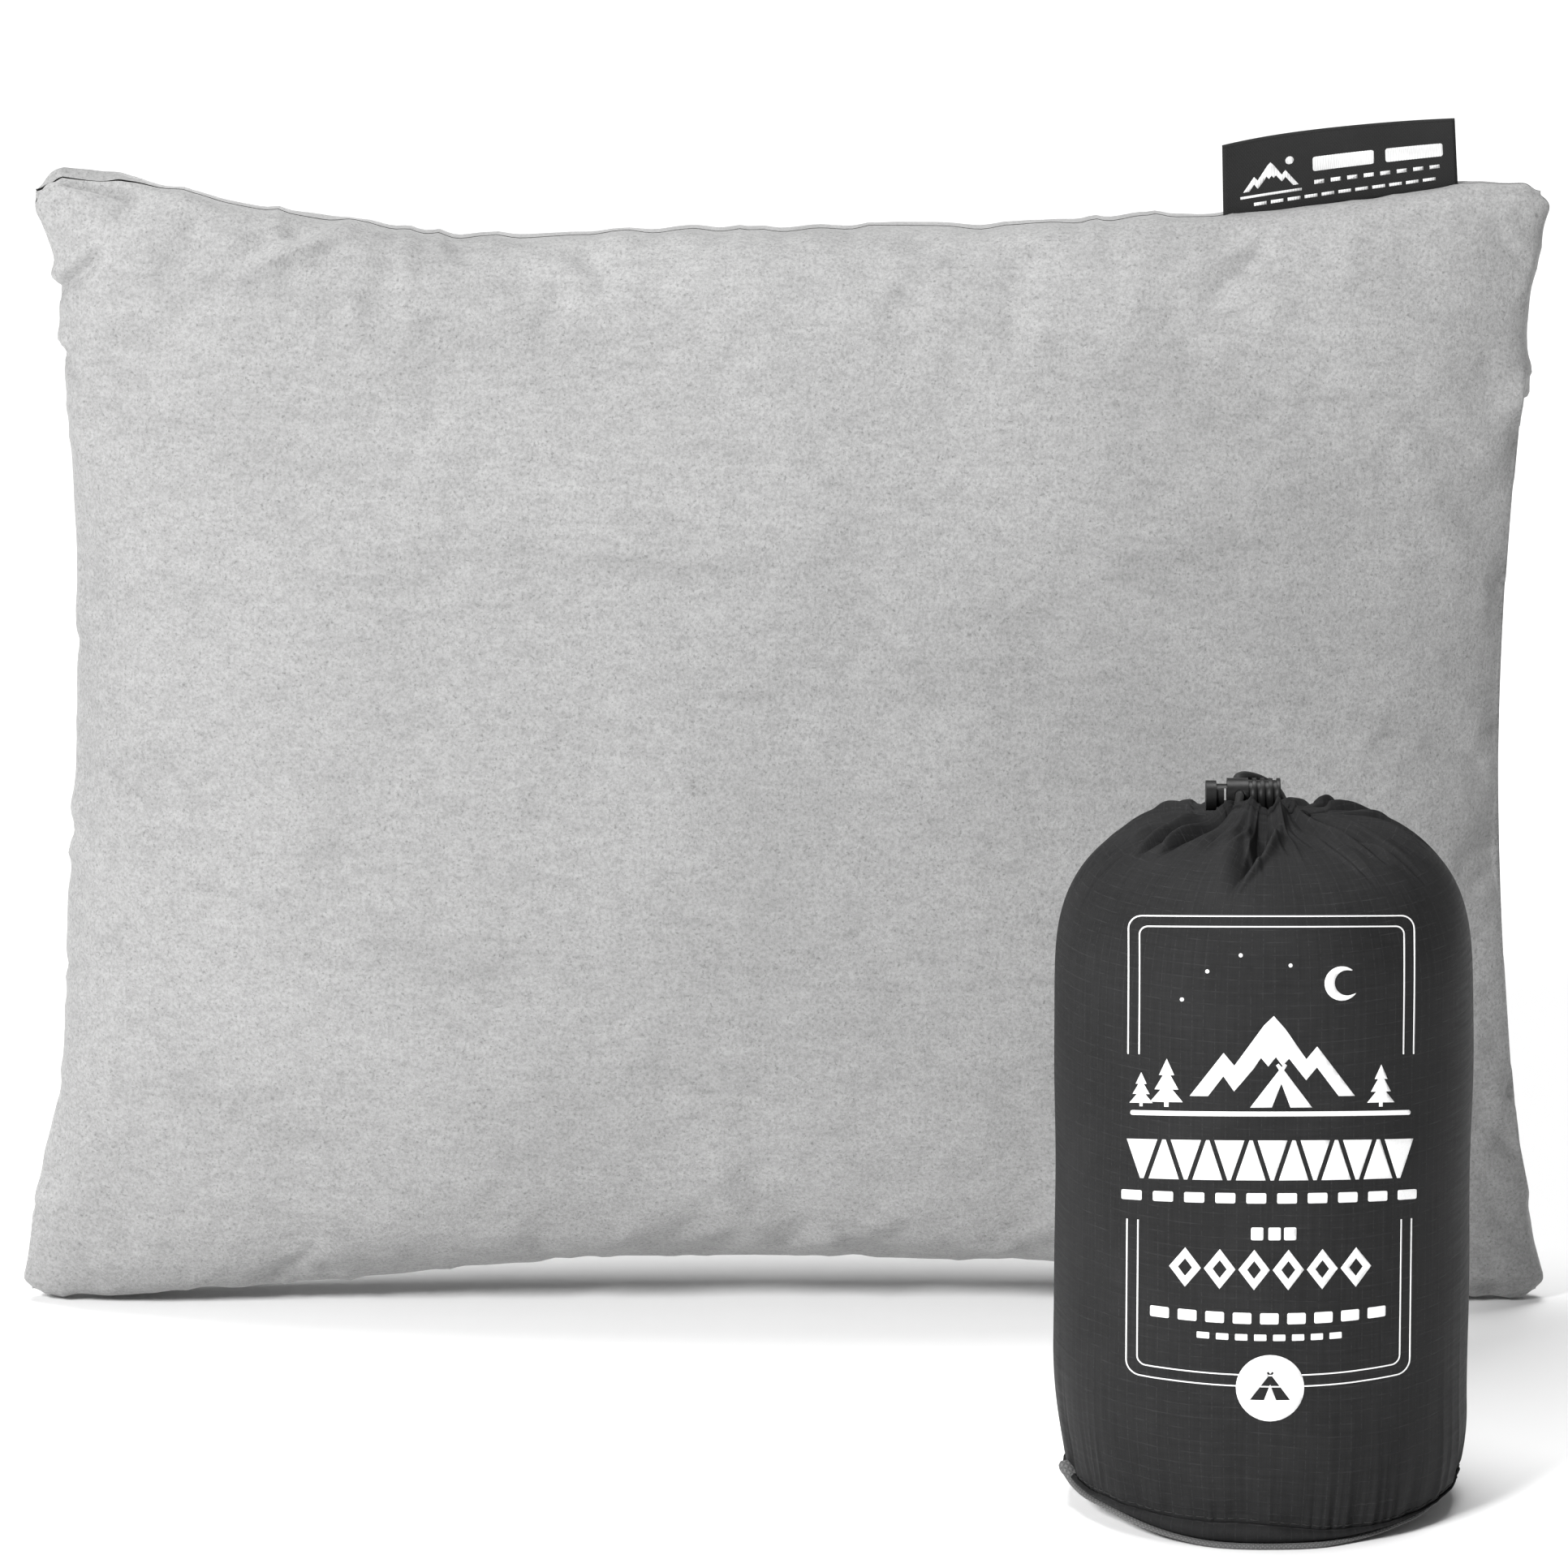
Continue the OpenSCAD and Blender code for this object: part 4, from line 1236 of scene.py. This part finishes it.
points, faces, uv = hem()
hem_cloth = piece("hem_folds", points, faces, "sack", RIPSTOP, uv=uv)
thicken(hem_cloth, CLOTH_T, -1)
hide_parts("mouth_hem")


def base_band():
    """The base panel: flat below, turned up all round to its sewn seam."""
    turns = 540
    phi = all_round(turns)
    top = sack_point(phi, np.zeros(turns))
    r_top = np.hypot(top[:, 0] - SACK_X, top[:, 1] - SACK_Y)
    rows = []
    for part in np.linspace(0, 1, 14):
        bulge = np.sin(np.pi * part)
        r = r_top * part + edge_radius(phi) * (1 - part) + 0.0004 + 0.0012 * bulge
        r = r + 0.0003 * wander(phi * SACK_R, 0.03, 51) * bulge
        foot = base_lift(phi) + 0.0016
        z = foot + (top[:, 2] + 0.0004 - foot) * part
        rows.append(around_sack(phi, r, z))
    under = []
    for share in (0.02, 0.25, 0.5, 0.75, 0.93, 0.975, 1):
        r = share * edge_radius(phi)
        near = step_up(0.63, 1, share)
        z = 0.0009 + 0.0002 * np.sin(5 * phi) * (share < 0.8) + near * (base_lift(phi) + 0.0006)
        under.append(around_sack(phi, r, z))
    grid = np.array(under + rows)
    return seamed_grid(grid, ring_uv(phi, run_along(grid[:, 0])))


points, faces, uv = base_band()
base = piece("base_panel", points, faces, "sack", BASE_CLOTH, uv=uv)
thicken(base, CLOTH_T, -1)
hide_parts("sack_base")


def binding_ring():
    """The bound edge of the base seam: a folded tape that the sack stands on."""
    phi = all_round(700)
    wave = wander(phi * SACK_R, 0.012, 55) * 0.0005 + wander(phi * SACK_R, 0.035, 56) * 0.0004
    profile = [(0.0, 0.0001), (0.0007, 0.0001), (0.0012, 0.0004), (0.0013, 0.0008), (0.0010, 0.0012),
               (0.0003, 0.0013), (-0.0010, 0.0013), (-0.0014, 0.0008), (-0.0010, 0.0002)]
    rows = []
    tab = np.exp(-((np.degrees(wrapped(phi)) + 80) / 3.5) ** 2)
    for dr, z in profile + profile[:1]:
        r = edge_radius(phi) + dr * (1 + 0.6 * tab) + wave + 0.0010 * tab
        rows.append(around_sack(phi, r, z * (1 + 1.4 * tab) + base_lift(phi) + 0.0025 * tab))
    grid = np.array(rows)
    return seamed_grid(grid, ring_uv(phi, run_along(grid[:, 0])))


points, faces, uv = binding_ring()
ring = piece("bound_edge", points, faces, "sack", BINDING, uv=uv)
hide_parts("base_binding")


def sack_hit_at(phi, z):
    """The outermost point of the sack's cloth at an angle and height, and its normal."""
    out = Vector((math.sin(phi), -math.cos(phi), 0))
    start = Vector((SACK_X, SACK_Y, z)) + out * 0.2
    found = sack_tree.ray_cast(start, -out)
    return found[0], found[1] if found[1].dot(out) > 0 else -found[1]


seam_line = [sack_hit_at(p, float(seam_height(p)) + 0.0012) for p in np.linspace(0, 2 * np.pi, 700)]
stitches("base_stitches", np.array([h[0] for h in seam_line]), np.array([h[1] for h in seam_line]), "sack",
         THREAD, 0.0021, 0.0007, 0.00017)


def side_seam():
    """The bound side seam, at the back on the left."""
    rows, centre = [], math.radians(-137.5)
    zs = np.linspace(0.0125, 0.145, 120)
    for z in zs:
        row = []
        for part, lift in ((-1, 0.0001), (-0.8, 0.0006), (0, 0.0008), (0.8, 0.0006), (1, 0.0001)):
            hit, normal = sack_hit_at(centre + part * 0.0018 / SACK_R, z)
            row.append(tuple(hit + normal * lift))
        rows.append(row)
    grid = np.array(rows)
    uv = np.stack(np.broadcast_arrays(np.linspace(0, 0.004, 5)[None, :], zs[:, None]), -1).reshape(-1, 2)
    return grid.reshape(-1, 3), grid_faces(len(zs), 5), uv


points, faces, uv = side_seam()
strip = piece("side_seam", points, faces, "sack", RIPSTOP, uv=uv)
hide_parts("side_seam_binding")


def bundle():
    """The rolled pillow that fills the sack, a little inside its cloth."""
    around, floor_z, steepest = 120, 0.0016, np.pi / 2 * 0.97
    phi = np.linspace(0, 2 * np.pi, around, endpoint=False)
    rows = [around_sack(phi, r, floor_z) for r in (0, 0.043)]
    for a in np.linspace(0, steepest, 46):
        k = a / steepest
        r = (0.0455 - 0.002 * (1 - k)) * (1 - k ** 7) ** 0.5
        z = 0.004 + 0.158 * k ** 0.9
        lump = 0.0008 * clouds(phi * 0.045, np.full(around, z), 0.03, 91)
        r = np.maximum(r + lump * (r > 0.004), 0.0002)
        rows.append(around_sack(phi, r, z))
    grid = np.array(rows)
    return grid.reshape(-1, 3), grid_faces(len(rows), around, wrap=True)


points, faces = bundle()
roll = piece("rolled_bundle", points, faces, "sack", SUEDE)
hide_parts("packed_bundle")

# ---- Print on the sack ----


def on_front(x, z):
    """A place on the sack's front, straight in from -Y. x is from the sack's axis."""
    slope = math.radians(12.5) * float(step_up(0.045, 0.105, z))
    into = Vector((0, math.cos(slope), -math.sin(slope)))
    found = sack_tree.ray_cast(Vector((SACK_X + x, SACK_Y - SACK_R, z)) - into * 0.15, into)
    if found[0] is None:
        return None
    normal = found[1] if found[1].y < 0 else -found[1]
    return found[0], normal


def frame_line(half, top, bottom, gap_low, gap_high, r):
    """A rounded frame in two open parts. Its sides stop at gap_low and gap_high."""
    shapes = []
    for sign in (1, -1):
        edge = top if sign > 0 else bottom
        stop = gap_high if sign > 0 else gap_low
        outer, inner = [], []
        for width, ring, radius in ((half, outer, r), (half - LINE, inner, r - LINE)):
            z = edge if ring is outer else edge - sign * LINE
            ring.append((width, stop))
            for flank, first in ((1, 0), (-1, 90)):
                for k in range(9):
                    a = math.radians(first + 90 * k / 8)
                    x = flank * (width - radius) + radius * math.cos(a)
                    ring.append((x, z - sign * radius + sign * radius * math.sin(a)))
            ring.append((-width, stop))
        shapes.append((outer + inner[::-1], []))
    return shapes


shapes = frame_line(0.0348, 0.1598, 0.0420, 0.0830, 0.1252, 0.0034)
shapes += frame_line(0.0322, 0.1572, 0.0448, 0.0830, 0.1252, 0.0022)
shapes += [(scaled(PEAKS, 0, 0.1150, 0.040), []), (scaled(MOON, 0.0165, 0.1430, 0.0085), [])]
for x, high in ((-0.0255, 0.0120), (-0.0315, 0.0085), (0.0265, 0.0105)):
    shapes.append((pine(x, 0.1122, high), []))
shapes += [(tent(0.0020, 0.1122, 0.0150), []), (bar(-0.0340, 0.1100, 0.0340, 0.1112, 0.0005), [])]
for x, z in ((-0.016, 0.146), (-0.008, 0.150), (0.004, 0.1475), (-0.022, 0.139)):
    shapes.append((disc(x, z, 0.0005, 12), []))
for k in range(13):
    x, (low, high) = -0.0312 + 0.0052 * k, (0.0940, 0.1040) if k % 2 else (0.1040, 0.0940)
    shapes.append(([(x - 0.0036, low), (x + 0.0036, low), (x + 0.0004, high), (x - 0.0004, high)], []))
shapes += row_of_bars(10, -0.0360, 0.00745, 0.0048, 0.0882, 0.0908, 0.0004)
for x in (-0.0050, -0.0008, 0.0030):
    shapes.append((bar(x, 0.0790, x + 0.0030, 0.0822, 0.0004), []))
for k in range(6):
    x = -0.02075 + 0.0083 * k
    hole = [(x - 0.0017, 0.0715), (x, 0.0738), (x + 0.0017, 0.0715), (x, 0.0692)]
    shapes.append(([(x - 0.0038, 0.0715), (x, 0.0766), (x + 0.0038, 0.0715), (x, 0.0664)], [hole]))
shapes += row_of_bars(9, -0.0290, 0.0066, 0.0045, 0.0578, 0.0606, 0.0004)
shapes += row_of_bars(8, -0.0178, 0.0046, 0.0030, 0.0536, 0.0552, 0.0002)
laid("print_front", shapes, on_front, "sack", INK, cell=0.002)
badge = [(disc(0, 0.0418, 0.0083), [scaled(tent(0, 0, 1), 0, 0.0388, 0.0098)])]
laid("print_badge", badge, on_front, "sack", INK, cell=0.002, lift=0.00016)

# ---- Cord lock ----

beveled("lock_barrel", "cord_lock_barrel", "cord_lock", PLASTIC, 0.00012, 2)
beveled("lock_button", "cord_lock_button", "lock_button", PLASTIC, 0.0003)
nodes["cord_lock_spring"].data.materials.clear()
nodes["cord_lock_spring"].data.materials.append(STEEL)

# ---- Floor and light ----

floor_mesh = bpy.data.meshes.new("floor")
floor_mesh.from_pydata([(-6, -3.5, 0), (6, -3.5, 0), (6, 9, 0), (-6, 9, 0)], [], [(0, 1, 2, 3)])
paper = Finish("paper", 0.9, Specular_IOR_Level=0.0)
paper.colour(paper.ramp(paper.noise(paper.place(), 3, 2), (0.3, 0.93), (0.7, 0.94)))
floor_mesh.materials.append(paper.material)
floor = placed("floor", floor_mesh)

world = bpy.data.worlds.new("world")
bpy.context.scene.world = world
world.use_nodes = True
world.node_tree.nodes["Background"].inputs[0].default_value = (1, 1, 1, 1)
world.node_tree.nodes["Background"].inputs[1].default_value = 0.22


def area_light(name, place, target, size, power):
    data = bpy.data.lights.new(name, "AREA")
    data.shape = "DISK"
    data.size = size
    data.energy = power
    obj = placed(name, data)
    obj.location = place
    obj.rotation_euler = (Vector(target) - Vector(place)).to_track_quat("-Z", "Y").to_euler()


area_light("key", (-1.60, SEAM_Y - 2.45, 1.80), (0, SEAM_Y - 0.05, 0.15), 0.9, 146)
sun_data = bpy.data.lights.new("top", "SUN")
sun_data.energy = 2.7
sun_data.angle = 0.6
sun = placed("top", sun_data)
sun.rotation_euler = Vector((0.05, -0.16, -1.0)).to_track_quat("-Z", "Y").to_euler()
bpy.context.scene.view_settings.view_transform = "Standard"
